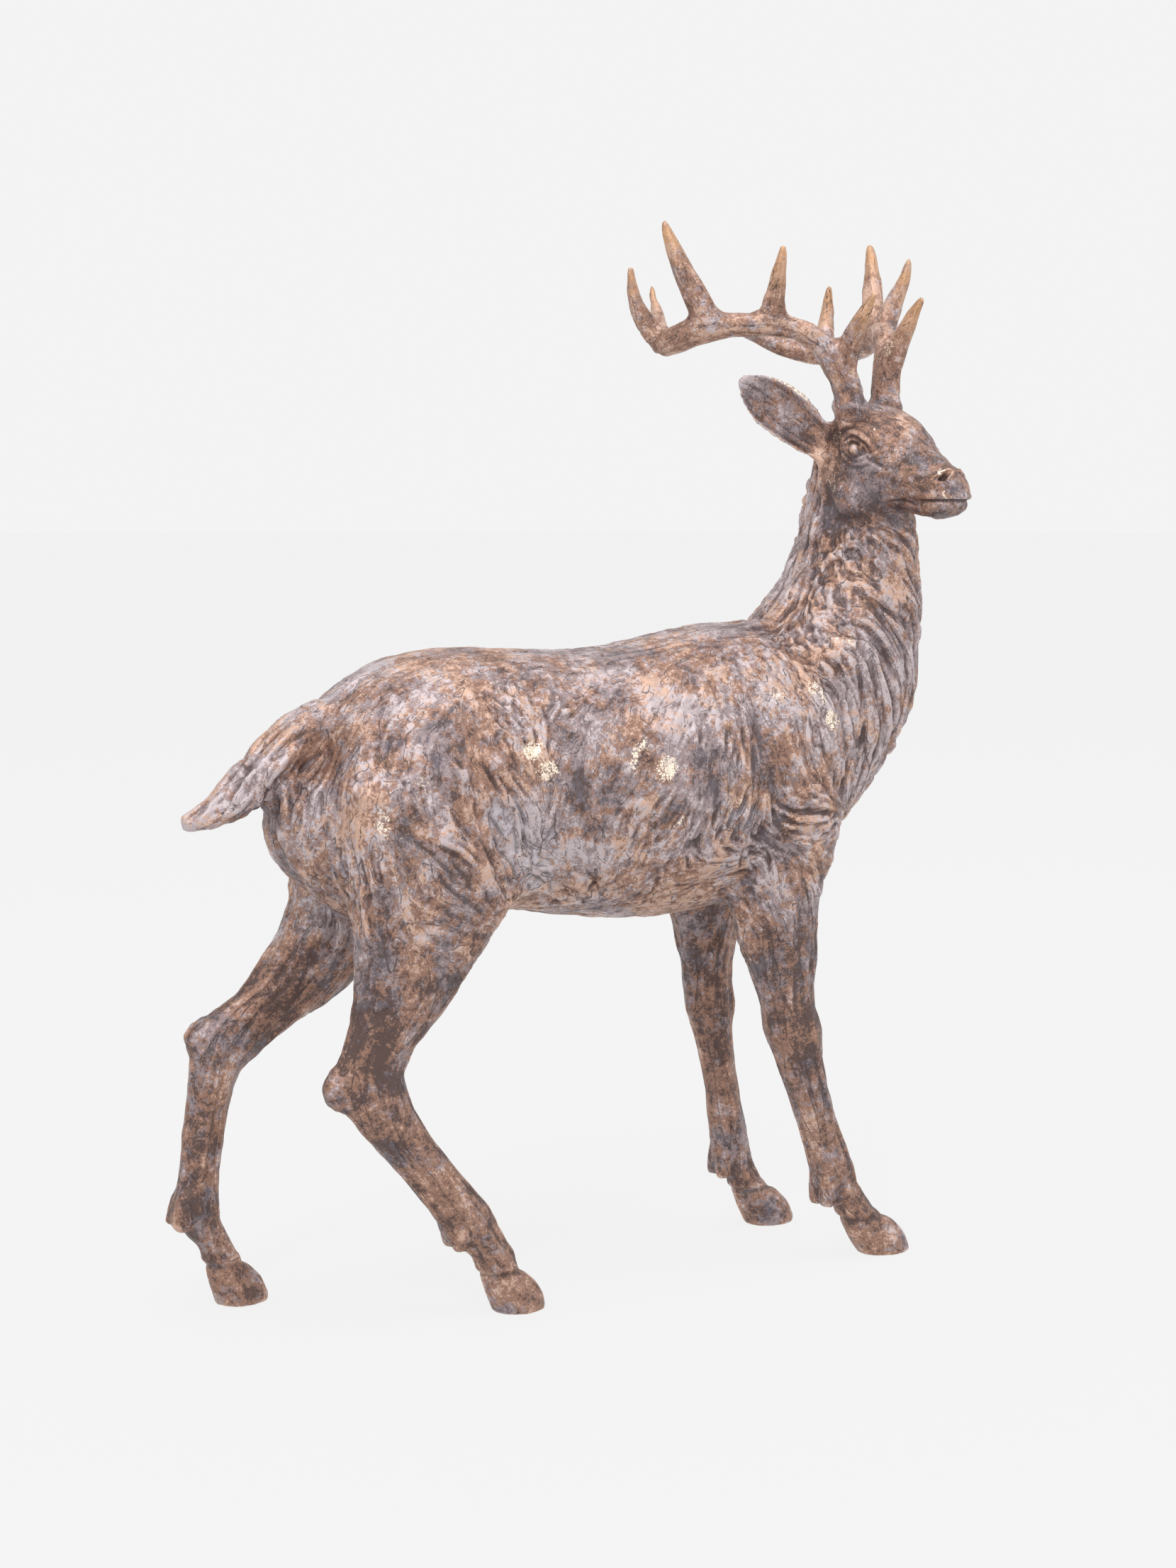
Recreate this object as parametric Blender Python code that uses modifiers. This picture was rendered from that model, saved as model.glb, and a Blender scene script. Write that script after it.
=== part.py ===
"""A standing reindeer figurine, cast in one piece, looking back over its right side.

The animal faces +X with its left side at +Y and its hooves on z = 0. The sizes below are real ones.
Its pose is drawn for a figure 414 units tall, and UNIT turns a drawn unit into metres.
"""
import math

import bpy
import bmesh
import numpy as np
from mathutils import Vector

# Driving sizes in metres
HEIGHT = 0.414            # ground to the tip of the tallest tine
TRACK = 0.059             # between a left and a right hoof
SOLE_LENGTH = 0.0213
SOLE_WIDTH = 0.0174
BODY_WIDTH = 0.096        # across the ribs
ANTLER_THICKNESS = 0.0104
TINE_TIP = 0.0036         # thickness at the end of a tine
EAR_LENGTH = 0.0505
EAR_WIDTH = 0.0250
FUR_DEPTH = 0.0030        # how far a mane lock stands out
GRID = 0.0015             # cell of the grid that fuses the forms
FACETS = 9700             # triangles of the finished figure
FINE_PULL = 0.0005        # how much denser they stay on the head and the feet

UNIT = HEIGHT / 414
HEAD_TURN = math.radians(-70)
HEAD_ROLL = math.radians(1.5)          # its right side is the higher
POLL = Vector((112.0, -8.0, 340.0))   # top of the skull, between the antlers
PEDICLE_SPREAD = 11.4                 # from the middle of the skull to an antler

# The trunk from rump to chest: x, top, bottom, share of the full width
TRUNK = (
    (-137, 213, 190, 0.20), (-129, 227, 168, 0.52), (-114, 239, 153, 0.80), (-96, 246, 146, 0.96),
    (-72, 250.5, 146, 1.00), (-46, 249.5, 149, 0.95), (-20, 248, 145, 1.00), (6, 249.5, 141.5, 1.04),
    (32, 253.6, 143, 1.03), (58, 256.6, 148, 0.97), (76, 253, 154, 0.88), (88, 237, 164, 0.70),
)
# The neck and its mane from chest to poll: x, z, half depth, half width
NECK = (
    (75, 183, 23, 32.5), (86.6, 207, 32.4, 35.5), (97, 232, 37.2, 36.5), (107.5, 256, 31.2, 31.5),
    (112.2, 278, 25, 27), (114.2, 298, 21.5, 24), (114.2, 316, 19, 19.5), (112, 326, 13, 14),
)
# The head from cheek to muzzle: forward, top, bottom, half width
HEAD = (
    (-13, -10, -38, 12), (-8, -3, -45, 16.5), (2, 1.9, -49, 18.5), (11, 0.6, -47.5, 19.4),
    (19, -5.4, -44, 17), (26.5, -13.8, -42.5, 13.2), (34, -19.6, -43.4, 11.4), (39.6, -23, -44.2, 11),
    (42.6, -25.8, -43, 9.2),
)
# Each leg from the trunk down to its pastern: x, z, half depth, share of the half depth across
NEAR_FORELEG = (
    (61, 188, 26, 0.62), (57, 165, 23, 0.66), (56.4, 145, 18.8, 0.76), (59.3, 130, 16.3, 0.80),
    (61.4, 115, 12.7, 0.86), (63, 106, 11.3, 0.90), (64.4, 98, 11.9, 0.90), (67.6, 91.5, 11.4, 0.90),
    (68.9, 84, 9.4, 0.95), (73.3, 70, 8.7, 0.95), (78.6, 55, 8.1, 0.95), (83.8, 41, 8.7, 1.0),
    (88, 31, 7.6, 1.0), (91.8, 25.5, 6.6, 1.05), (96.6, 18, 7.0, 1.1),
)
FAR_FORELEG = (
    (61, 188, 26, 0.62), (58.5, 165, 23, 0.66), (60, 142, 16.4, 0.80), (61.5, 120, 12.7, 0.88),
    (61.5, 106, 10.6, 0.92), (62.4, 98.5, 11.0, 0.92), (63.6, 92.5, 10.6, 0.92), (64.7, 86, 8.8, 0.96),
    (66.5, 72, 7.7, 1.0), (69.2, 58, 7.5, 1.0), (71.6, 42, 8.2, 1.0), (74, 32, 7.4, 1.0),
    (77.2, 24.5, 6.6, 1.05), (80.8, 17.5, 7.2, 1.1),
)
NEAR_HINDLEG = (
    (-86, 196, 40, 0.42), (-91, 170, 35, 0.52), (-98.5, 143, 24.6, 0.66), (-106.5, 122.5, 17.6, 0.72),
    (-112, 110.5, 13.6, 0.78), (-117, 98, 13.2, 0.74), (-113.5, 86, 12.0, 0.80), (-104.5, 72.5, 10.0, 0.86),
    (-96.2, 61.5, 9.5, 0.88), (-85.8, 48, 9.4, 0.90), (-77.6, 38, 9.8, 0.94), (-73.6, 33, 8.6, 1.0),
    (-69.7, 27.5, 7.4, 1.05), (-65.2, 19.5, 7.8, 1.1),
)
FAR_HINDLEG = (
    (-88, 196, 38, 0.42), (-93, 170, 31, 0.52), (-102, 146, 23.5, 0.66), (-114.5, 129.5, 17.8, 0.72),
    (-125.5, 120, 14.8, 0.74), (-136.5, 110.5, 12.2, 0.78), (-150, 101, 12.6, 0.76), (-155.2, 90, 10.0, 0.85),
    (-159, 70, 8.3, 0.92), (-161.4, 54, 8.0, 0.95), (-162.4, 41, 8.6, 0.95), (-161, 33, 7.4, 1.0),
    (-157, 26, 6.2, 1.05), (-153.2, 18, 6.4, 1.1),
)
# Leg, side of the body, x of its hoof's middle, the hoof's heading off +X in degrees, x and z of the root and
# of the tip of its dewclaws, then x, z, half depth and half height of the point of its hock or its knee
LEGS = (
    (NEAR_FORELEG, -1, 111.2, -3, (83, 45), (80.0, 22), (66.5, 97, 11.6, 7.5)),
    (FAR_FORELEG, 1, 92.8, 3, (70.5, 43), (66.8, 21.8), (64.5, 97, 10.8, 7.5)),
    (NEAR_HINDLEG, -1, -55.3, -3, (-85, 46), (-82.2, 26.5), (-128.3, 93, 8.2, 9.2)),
    (FAR_HINDLEG, 1, -144.8, 3, (-165.5, 48), (-172, 31.5), (-158.6, 104.5, 8.4, 7.6)),
)
DEWCLAW_SPREAD = 4.0      # from the middle of the leg
# A dewclaw from its root down: share of the way to the tip, share of the spread, radius
DEWCLAW = ((0, 0.55, 4.4), (0.55, 0.85, 4.4), (0.85, 1.0, 3.5), (1, 1.05, 2.8))
# A hoof from its sole up: share of its height, share of the way back to the pastern, share of the sole's size
HOOF = ((0, 0, 1.0), (0.27, 0.17, 0.98), (0.53, 0.45, 0.89), (0.80, 0.76, 0.76), (1.1, 1.0, 0.64))
HOOF_HEIGHT = 15.0
# On the head: forward and up of the eye; forward, aside and up of other places
EYE = (9.2, -16.8)
EYE_SPREAD = 15.8         # from the middle of the head
EYE_RADIUS = 4.6
CHEEK = (4, 11, -34)
CHEEK_RADII = (10, 9, 11)
BROW = ((1, 12.5, -7, 2.8), (10, 16, -10, 2.9), (19, 13.5, -15, 2.2))
NOSTRIL = (42.8, 6.2, -27.6)
MOUTH_UP = -36.5
MOUTH_CORNER = 24
EAR_ROOT = (-6.5, 13, -17.5)
EAR_LEAN = (-0.60, 0.54, 0.60)
EAR_FACING = (0.62, 0.70, 0.10)
EAR_WALL = 2.2
EAR_CURL = math.radians(82)
LEG_SPREAD = 31.0         # from the middle of the trunk to where a leg leaves it

# An antler in the head's own directions, from its pedicle: forward, outward, up, share of thickness
BEAM = (
    (0, 0, -8, 1.14), (0, 0.6, 4, 1.20), (-3, 4.6, 15, 1.12), (-9.5, 12.2, 27, 1.02),
    (-17.5, 21.2, 30.9, 0.94), (-29, 33.8, 31.2, 1.00), (-41, 43, 29.2, 1.16), (-52, 45, 25.6, 1.16),
    (-62.5, 39.5, 24, 1.04), (-74, 28.5, 26.8, 0.92), (-85, 18.5, 33, 0.78),
)
BEAM_END = ((-91, 12.5, 38.5, 0.64), (-96, 9.5, 45, 0.48), (-99, 7, 51.5, 0.36))
SHORT_BEAM_END = ((-95.5, 11.5, 38, 0.60), (-101, 10, 43.5, 0.40))
TINES = (
    ((-2, 3.4, 12, 1.0), (1.2, 4, 21, 1.0), (5.4, 4.5, 30, 0.86), (10.2, 4.6, 38, 0.64), (15, 4.5, 45, 0.38)),
    ((-20.5, 24, 28, 1.06), (-18, 27.3, 40.5, 0.92), (-13.8, 29.5, 52, 0.68), (-11, 30.5, 63.3, 0.38)),
    ((-37.5, 41, 29, 1.16), (-42, 47, 42.5, 1.04), (-46.8, 52.8, 57, 0.80), (-51.5, 56.5, 72, 0.42)),
    ((-62, 40, 22, 1.0), (-67, 47.5, 32, 0.88), (-69.5, 52, 43, 0.66), (-70, 54, 55, 0.38)),
)
TAIL = (
    (-121, 226, 9, 9), (-136, 217, 8.6, 13), (-149, 205, 7.2, 13.5), (-161.5, 195, 5.8, 10),
    (-175.5, 189.8, 3, 3.6),
)


def smooth_rows(rows, steps):
    """Catmull-Rom through the rows of numbers, so that a form bends evenly between its stations."""
    rows = np.array(rows, float)
    padded = np.vstack([2 * rows[0] - rows[1], rows, 2 * rows[-1] - rows[-2]])
    made = []
    for a, b, c, d in zip(padded, padded[1:], padded[2:], padded[3:]):
        for t in np.arange(steps) / steps:
            made.append(
                b + 0.5 * t * (c - a + t * (2 * a - 5 * b + 4 * c - d + t * (3 * (b - c) + d - a)))
            )
    return np.array(made + [rows[-1]])


def mesh_object(name, bm, collection):
    mesh = bpy.data.meshes.new(name)
    bmesh.ops.recalc_face_normals(bm, faces=bm.faces)
    bm.to_mesh(mesh)
    bm.free()
    made = bpy.data.objects.new(name, mesh)
    collection.objects.link(made)
    return made


def loft(name, stations, across, collection, round_ends=True, sides=28):
    """A closed skin over elliptical sections. Each station has a centre, a half depth and a half width."""
    rows = smooth_rows(stations, 4)
    centres, depths, widths = rows[:, :3], rows[:, 3], rows[:, 4]
    runs = np.gradient(centres, axis=0)
    runs /= np.linalg.norm(runs, axis=1)[:, None]
    across = np.array(across, float)
    rings = []
    for centre, run, depth, width in zip(centres, runs, depths, widths):
        outward = np.cross(run, across)
        rings.append((centre, outward / np.linalg.norm(outward), depth, width, run))
    if round_ends:
        head, foot = rings[0], rings[-1]
        angles = np.radians((75, 50, 25))
        rings = (
            [end_ring(head, -1, angle) for angle in angles]
            + rings
            + [end_ring(foot, 1, angle) for angle in angles[::-1]]
        )
    bm = bmesh.new()
    turn = np.arange(sides) * 2 * math.pi / sides
    loops = []
    for centre, outward, depth, width, run in rings:
        points = (
            centre + np.outer(np.cos(turn) * depth, outward) + np.outer(np.sin(turn) * width, across)
        )
        loops.append([bm.verts.new(point * UNIT) for point in points])
    for lower, upper in zip(loops, loops[1:]):
        for i in range(sides):
            j = (i + 1) % sides
            bm.faces.new((lower[i], lower[j], upper[j], upper[i]))
    bm.faces.new(loops[0])
    bm.faces.new(loops[-1])
    return mesh_object(name, bm, collection)


def end_ring(ring, way, angle):
    """A section of a rounded end, set out along the run and drawn in."""
    centre, outward, depth, width, run = ring
    reach = min(depth, width) * 0.7
    return (
        centre + run * way * reach * math.sin(angle),
        outward,
        depth * math.cos(angle),
        width * math.cos(angle),
        run,
    )


def tube(name, points, collection):
    """A tapered round rod as a curve with filled caps, made a mesh. A point has a place and a radius."""
    rows = smooth_rows(points, 4)
    curve = bpy.data.curves.new(name, "CURVE")
    curve.dimensions = "3D"
    curve.bevel_depth = UNIT
    curve.bevel_resolution = 4
    curve.use_fill_caps = True
    spline = curve.splines.new("POLY")
    spline.points.add(len(rows) - 1)
    for point, (x, y, z, radius) in zip(spline.points, rows):
        point.co = (x * UNIT, y * UNIT, z * UNIT, 1)
        point.radius = radius
    guide = bpy.data.objects.new(name, curve)
    collection.objects.link(guide)
    bpy.context.view_layer.update()
    bm = bmesh.new()
    made = bpy.data.meshes.new_from_object(
        guide.evaluated_get(bpy.context.evaluated_depsgraph_get())
    )
    bm.from_mesh(made)
    bmesh.ops.remove_doubles(bm, verts=bm.verts, dist=1e-6)
    bpy.data.meshes.remove(made)
    bpy.data.objects.remove(guide)
    return mesh_object(name, bm, collection)


def ball(name, centre, radii, collection):
    bm = bmesh.new()
    bmesh.ops.create_uvsphere(bm, u_segments=20, v_segments=12, radius=1)
    bmesh.ops.scale(bm, vec=Vector(radii) * UNIT, verts=bm.verts)
    bmesh.ops.translate(bm, vec=Vector(centre) * UNIT, verts=bm.verts)
    return mesh_object(name, bm, collection)


FORWARD = Vector((math.cos(HEAD_TURN), math.sin(HEAD_TURN), 0))
LEVEL = Vector((-math.sin(HEAD_TURN), math.cos(HEAD_TURN), 0))
LEFTWARD = LEVEL * math.cos(HEAD_ROLL) - Vector((0, 0, math.sin(HEAD_ROLL)))
UPWARD = FORWARD.cross(LEFTWARD)


def on_head(forward, left, up):
    """A place given along the head's own directions, from the poll."""
    return POLL + FORWARD * forward + LEFTWARD * left + UPWARD * up


def make_trunk(collection):
    half = BODY_WIDTH / UNIT / 2
    stations = [
        (x, 0, (top + bottom) / 2, (top - bottom) / 2, half * share) for x, top, bottom, share in TRUNK
    ]
    loft("trunk", stations, (0, 1, 0), collection)
    loft("neck", [(x, 0, z, d, w) for x, z, d, w in NECK], (0, 1, 0), collection)
    loft("tail", [(x, 0, z, d, w) for x, z, d, w in TAIL], (0, 1, 0), collection)


def make_head(collection):
    stations = [
        (*on_head(f, 0, (top + bottom) / 2), (top - bottom) / 2, w) for f, top, bottom, w in HEAD
    ]
    loft("head", stations, LEFTWARD, collection)
    for side in (-1, 1):
        ball("eye", on_head(EYE[0], side * EYE_SPREAD, EYE[1]), [EYE_RADIUS] * 3, collection)
        ball("cheek", on_head(CHEEK[0], side * CHEEK[1], CHEEK[2]), CHEEK_RADII, collection)
        brow = [(*on_head(forward, side * aside, up), radius) for forward, aside, up, radius in BROW]
        tube("brow", brow, collection)
        make_ear(side, collection)
        make_antler(side, collection)


def make_ear(side, collection):
    """A leaf with a hollow front: the skin of the back and the skin of the hollow, joined at the rims."""
    root = on_head(EAR_ROOT[0], side * EAR_ROOT[1], EAR_ROOT[2])
    lean, facing = (
        (FORWARD * forward + LEFTWARD * side * aside + UPWARD * up).normalized()
        for forward, aside, up in (EAR_LEAN, EAR_FACING)
    )
    across = lean.cross(facing).normalized()
    facing = across.cross(lean).normalized()
    length, width = EAR_LENGTH / UNIT, EAR_WIDTH / UNIT
    bm = bmesh.new()
    loops = []
    for t in np.linspace(0, 1, 14):
        half = max(width / 2 * math.sin(math.pi * (0.13 + 0.87 * t**1.25)) ** 0.65, 0.9)
        deep = half * 0.62
        wall = EAR_WALL if half > 3 else half * 0.5
        middle = root + lean * (t * length) + facing * (2.5 * math.sin(t * math.pi))
        ring = []
        for turn in np.linspace(-1, 1, 9):
            bend = turn * EAR_CURL
            ring.append(middle + across * half * math.sin(bend) - facing * deep * math.cos(bend))
        for turn in np.linspace(0.86, -0.86, 8):
            bend = turn * EAR_CURL
            inner = max(deep - wall, 0.12 * deep)
            reach = across * (half - wall * 0.55) * math.sin(bend)
            ring.append(middle + reach - facing * inner * math.cos(bend))
        loops.append([bm.verts.new(point * UNIT) for point in ring])
    for lower, upper in zip(loops, loops[1:]):
        for i, _ in enumerate(lower):
            j = (i + 1) % len(lower)
            bm.faces.new((lower[i], lower[j], upper[j], upper[i]))
    bm.faces.new(loops[0])
    bm.faces.new(loops[-1])
    mesh_object("ear", bm, collection)


def make_antler(side, collection):
    radius = ANTLER_THICKNESS / UNIT / 2
    tip = TINE_TIP / UNIT / 2

    def placed(points):
        made = []
        for forward, outward, up, share in points:
            place = on_head(forward, side * (PEDICLE_SPREAD + outward), up)
            made.append((*place, max(radius * share, tip)))
        return made

    # The beam's last rise is cut short on the left antler.
    tube("beam", placed(BEAM + (BEAM_END if side < 0 else SHORT_BEAM_END)), collection)
    for points in TINES:
        tube("tine", placed(points), collection)
    burr = on_head(0, side * PEDICLE_SPREAD, 0)
    ball("burr", burr, (radius * 1.6, radius * 1.6, 3.4), collection)


def make_legs(collection):
    for stations, side, hoof_x, heading, root, claw, point in LEGS:
        top, foot = stations[0][1], HOOF_HEIGHT
        half_track = TRACK / UNIT / 2
        rows = []
        for x, z, depth, share in stations:
            down = (top - z) / (top - foot)
            lateral = LEG_SPREAD + (half_track - LEG_SPREAD) * down
            rows.append((x, side * lateral, z, depth, depth * share))
        loft("leg", rows, (0, 1, 0), collection)
        make_hoof(rows[-1], side * half_track, hoof_x, heading, collection)
        x, z, depth, height = point
        down = (top - z) / (top - foot)
        lateral = side * (LEG_SPREAD + (half_track - LEG_SPREAD) * down)
        ball("joint", (x, lateral, z), (depth, depth * 0.8, height), collection)
        for way in (-1, 1):
            hang = []
            for share, spread, radius in DEWCLAW:
                y = side * half_track + way * DEWCLAW_SPREAD * spread
                x, z = (start + (end - start) * share for start, end in zip(root, claw))
                hang.append((x, y, z, radius))
            tube("dewclaw", hang, collection)


def make_hoof(pastern, y, hoof_x, heading, collection):
    """A hoof as slanting sections, from its sole a little under the ground up to the pastern."""
    half_length, half_width = SOLE_LENGTH / UNIT / 2, SOLE_WIDTH / UNIT / 2
    turned = math.radians(heading)
    across = (-math.sin(turned), math.cos(turned), 0)
    stations = [(hoof_x, y, -4, half_length, half_width)]
    for share, back, size in HOOF:
        middle = hoof_x + (pastern[0] - hoof_x) * back
        stations.append((middle, y, HOOF_HEIGHT * share, half_length * size, half_width * (size + 0.04)))
    loft("hoof", stations, across, collection, round_ends=False)


def fused(collection, name, voxel):
    """All the forms joined into one closed skin on a fine grid."""
    bm = bmesh.new()
    for form in list(collection.objects):
        bm.from_mesh(form.data)
        bpy.data.objects.remove(form)
    whole = mesh_object(name, bm, collection)
    remesh = whole.modifiers.new("fuse", "REMESH")
    remesh.mode = "VOXEL"
    remesh.voxel_size = voxel
    return baked(whole)


def baked(obj):
    """The object with its modifiers applied."""
    bpy.context.view_layer.update()
    graph = bpy.context.evaluated_depsgraph_get()
    mesh = bpy.data.meshes.new_from_object(obj.evaluated_get(graph))
    obj.modifiers.clear()
    obj.data = mesh
    return obj


def vertex_table(mesh):
    points = np.empty(len(mesh.vertices) * 3)
    mesh.vertices.foreach_get("co", points)
    normals = np.empty(len(mesh.vertices) * 3)
    mesh.vertices.foreach_get("normal", normals)
    return points.reshape(-1, 3), normals.reshape(-1, 3)


def fineness(places):
    """1 on the head and the ears, less on the antlers and the feet, and 0 on the trunk and the legs."""
    middle_of_head = np.array(on_head(16, 0, -22))
    head = 1 - ramp(np.linalg.norm(places - middle_of_head, axis=1), 36, 48)
    antlers = 0.55 * ramp(places[:, 2], 325, 345)
    feet = 0.8 * (1 - ramp(places[:, 2], 34, 56))
    return np.maximum(np.maximum(head, antlers), feet)


def blend(mesh, rounds, coarse, fine):
    """Rounds the joints between the forms by drawing each point towards its neighbours."""
    points, _ = vertex_table(mesh)
    share = (coarse + (fine - coarse) * fineness(points / UNIT))[:, None]
    ends = np.empty(len(mesh.edges) * 2, int)
    mesh.edges.foreach_get("vertices", ends)
    ends = ends.reshape(-1, 2)
    count = np.bincount(ends.ravel(), minlength=len(points))[:, None]
    for _ in range(rounds):
        total = np.zeros_like(points)
        np.add.at(total, ends[:, 0], points[ends[:, 1]])
        np.add.at(total, ends[:, 1], points[ends[:, 0]])
        points += share * (total / count - points)
    mesh.vertices.foreach_set("co", points.ravel())
    mesh.update()


def ramp(value, low, high):
    t = np.clip((value - low) / (high - low), 0, 1)
    return t * t * (3 - 2 * t)


def wobble(a, b, seed):
    """Slow wandering between -1 and 1."""
    return (
        np.sin(a * 1.1 + b * 0.7 + seed) + np.sin(a * 0.45 - b * 1.3 + 2.1 * seed)
        + np.sin(a * -0.8 + b * 0.35 + 3.7 * seed)
    ) / 3


def locks(along, around, length, width, seed):
    """Overlapping pointed locks, each rising to its tip. It runs from 0 in the partings to 1."""
    height = np.zeros_like(along)
    for layer in (0, 1):
        lane = around / width + layer * 0.5 + 0.35 * wobble(along / length * 2.5, around / width * 0.7, seed)
        number = np.floor(lane)
        phase = np.modf(np.abs(np.sin(number * 12.9898 + layer * 4.1 + seed) * 437.58))[0]
        run = along / length + phase + 0.5 * layer
        s = run - np.floor(run)
        side = np.abs(lane - number - 0.5) / (0.5 * (1.02 - 0.62 * s**2.2))
        height = np.maximum(height, np.clip(1 - side**2.2, 0, 1) * (0.30 + 0.70 * s) * (1 - s**9))
    return height


def crease(points, start, end, width):
    """How near each point is to a line on either flank, 1 on it and 0 past the width."""
    start, end = np.array(start, float), np.array(end, float)
    spots = np.column_stack([points[:, 0], np.abs(points[:, 1]), points[:, 2]])
    run = end - start
    t = np.clip((spots - start) @ run / (run @ run), 0, 1)
    gap = np.linalg.norm(spots - start - t[:, None] * run, axis=1)
    return bell(gap, width) * np.sin(np.pi * np.clip(t * 0.8 + 0.1, 0, 1)) ** 0.5


def bell(value, width):
    return np.exp(-((value / width) ** 2))


def bump(distance, radius):
    """A smooth rise, 1 at no distance and 0 from the radius on."""
    return 1 - ramp(distance, 0, radius)


def face(places):
    """Lift of the skin on the head: eyes in their lids, brows, nostrils, the mouth and the jaw."""
    local = places - np.array(POLL)
    forward, left, up = (local @ np.array(way) for way in (FORWARD, LEFTWARD, UPWARD))
    on_side = ramp(np.abs(left), 3, 8)
    eye = np.hypot(forward - EYE[0], (up - EYE[1]) * 1.15)
    lift = on_side * (
        1.2 * bump(eye, 3.4) - 1.0 * bell(eye - 4.0, 0.9) + 0.8 * bell(eye - 5.6, 1.0)
    )
    brow = np.hypot(eye - 7.6, 0.35 * np.minimum(up - EYE[1] - 3, 0))
    lift += on_side * 1.1 * bump(brow, 2.8) * (up > EYE[1])
    before_eye = (forward > EYE[0] + 4) & (forward < EYE[0] + 12)
    tear = np.abs(up - EYE[1] + 0.75 * (forward - EYE[0] - 4))
    lift -= on_side * 0.6 * bump(tear, 1.8) * before_eye
    gap = places - np.array(on_head(NOSTRIL[0], 0, NOSTRIL[2]))
    nostril = np.sqrt((gap**2).sum(1) - (gap @ np.array(LEFTWARD)) ** 2 + (np.abs(left) - NOSTRIL[1]) ** 2)
    lift += 0.5 * bell(nostril - 4.0, 1.0) - 1.5 * bump(nostril, 2.8)
    lips = np.abs(up - MOUTH_UP - 0.03 * (forward - MOUTH_CORNER) ** 2 * (forward < MOUTH_CORNER + 3))
    along = ramp(forward, MOUTH_CORNER - 3, MOUTH_CORNER + 1)
    lift += along * (0.3 * bump(np.abs(lips - 2.4), 1.6) - 0.9 * bump(lips, 1.4))
    jaw = np.hypot((forward + 2) * 0.8, up + 30)
    lift += on_side * 0.6 * bump(jaw, 12) - 0.5 * on_side * bell(jaw - 14.5, 2.4) * (up < -26)
    on_face = ramp(forward, -8, -2) * ramp(up, -56, -52) * (1 - ramp(up, 2, 6)) * (np.abs(left) < 26)
    return lift * on_face


def carve(mesh):
    """Mane locks on the neck and chest, finer hair on the trunk, creases at the limbs, and the face."""
    points, normals = vertex_table(mesh)
    p = points / UNIT
    x, y, z = p.T
    deep = FUR_DEPTH / UNIT
    axis_x = 84 + (z - 184) * 0.22
    around = np.arctan2(y, x - axis_x) * 38
    # The locks slant forward under the jaw and turn upright on the chest.
    below_jaw = np.clip(310 - z, 0, 125)
    sweep = around + (1.15 * below_jaw - 0.0036 * below_jaw**2) * np.tanh(y / 8)
    mane = ramp(z, 150, 172) * (1 - ramp(z, 312, 324)) * ramp(x + (z - 200) * 0.2, 50, 74)
    head = ramp((p - np.array(POLL)) @ np.array(FORWARD), -14, -6) * ramp(z, 286, 296)
    mane *= 1 - head
    lift = mane * deep * (locks(330 - z, sweep, 30, 13, 1.0) - 0.45) * 1.2
    haunch = ramp(-x, 62, 80) * ramp(z, 120, 150) * (1 - ramp(z, 225, 240)) * ramp(np.abs(y), 12, 26)
    lift += haunch * deep * 0.5 * (locks(300 - z - x * 0.5, x - z * 0.45, 46, 10, 4.0) - 0.4)
    flank = ramp(x, -60, -42) * (1 - ramp(x, 26, 44)) * ramp(z, 140, 160) * ramp(np.abs(y), 14, 28)
    lift += flank * deep * 0.4 * (locks(200 - x + z * 0.2, z * 0.9 + x * 0.3, 56, 11, 7.0) - 0.4)
    lift -= 3.2 * crease(p, (-84, 44, 240), (-63, 44, 158), 6.0)
    lift -= 3.4 * crease(p, (40, 46, 228), (41, 38, 152), 5.0)
    lift += 1.6 * crease(p, (56, 46, 232), (60, 44, 170), 9.0)
    tail = ramp(-x, 126, 136) * ramp(z, 186, 196)
    lift += tail * 0.8 * np.sin(y * 1.25 + 0.6 * np.sin(z * 0.2))
    lift = lift * (z < 330) * (z > 4) + face(p)
    points = points + normals * (lift * UNIT)[:, None]
    mesh.vertices.foreach_set("co", points.ravel())
    mesh.update()
    return p


def thin_out(obj, places):
    """Fewer triangles, with more of them left on the head, the ears, the antlers and the feet."""
    group = obj.vertex_groups.new(name="plain")
    for index, weight in enumerate(1 - 0.9 * fineness(places)):
        group.add([index], float(weight), "REPLACE")
    thinner = obj.modifiers.new("thin out", "DECIMATE")
    thinner.vertex_group = group.name
    thinner.vertex_group_factor = FINE_PULL
    thinner.ratio = FACETS / (2 * len(obj.data.polygons))
    thinner.use_collapse_triangulate = True
    return baked(obj)


def stand_flat(obj, cutters):
    """Cuts the hooves flat on the ground and puts the origin under the middle of the figure."""
    size = HEIGHT
    bm = bmesh.new()
    bmesh.ops.create_cube(bm, size=size)
    bmesh.ops.translate(bm, vec=(0, 0, -size / 2), verts=bm.verts)
    ground = mesh_object("ground", bm, cutters)
    ground.hide_render = True
    ground.display_type = "WIRE"
    cut = obj.modifiers.new("flat soles", "BOOLEAN")
    cut.operation = "DIFFERENCE"
    cut.solver = "EXACT"
    cut.object = ground
    baked(obj)
    corners = [Vector(corner) for corner in obj.bound_box]
    low, high = corners[0], corners[6]
    for vertex in obj.data.vertices:
        vertex.co.x -= (low.x + high.x) / 2
        vertex.co.y -= (low.y + high.y) / 2


def paint(obj):
    material = bpy.data.materials.new("antique bronze paint")
    material.use_nodes = True
    shader = material.node_tree.nodes["Principled BSDF"]
    shader.inputs["Base Color"].default_value = (0.20, 0.115, 0.075, 1)
    shader.inputs["Metallic"].default_value = 0.75
    shader.inputs["Roughness"].default_value = 0.42
    obj.data.materials.clear()
    obj.data.materials.append(material)


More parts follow.
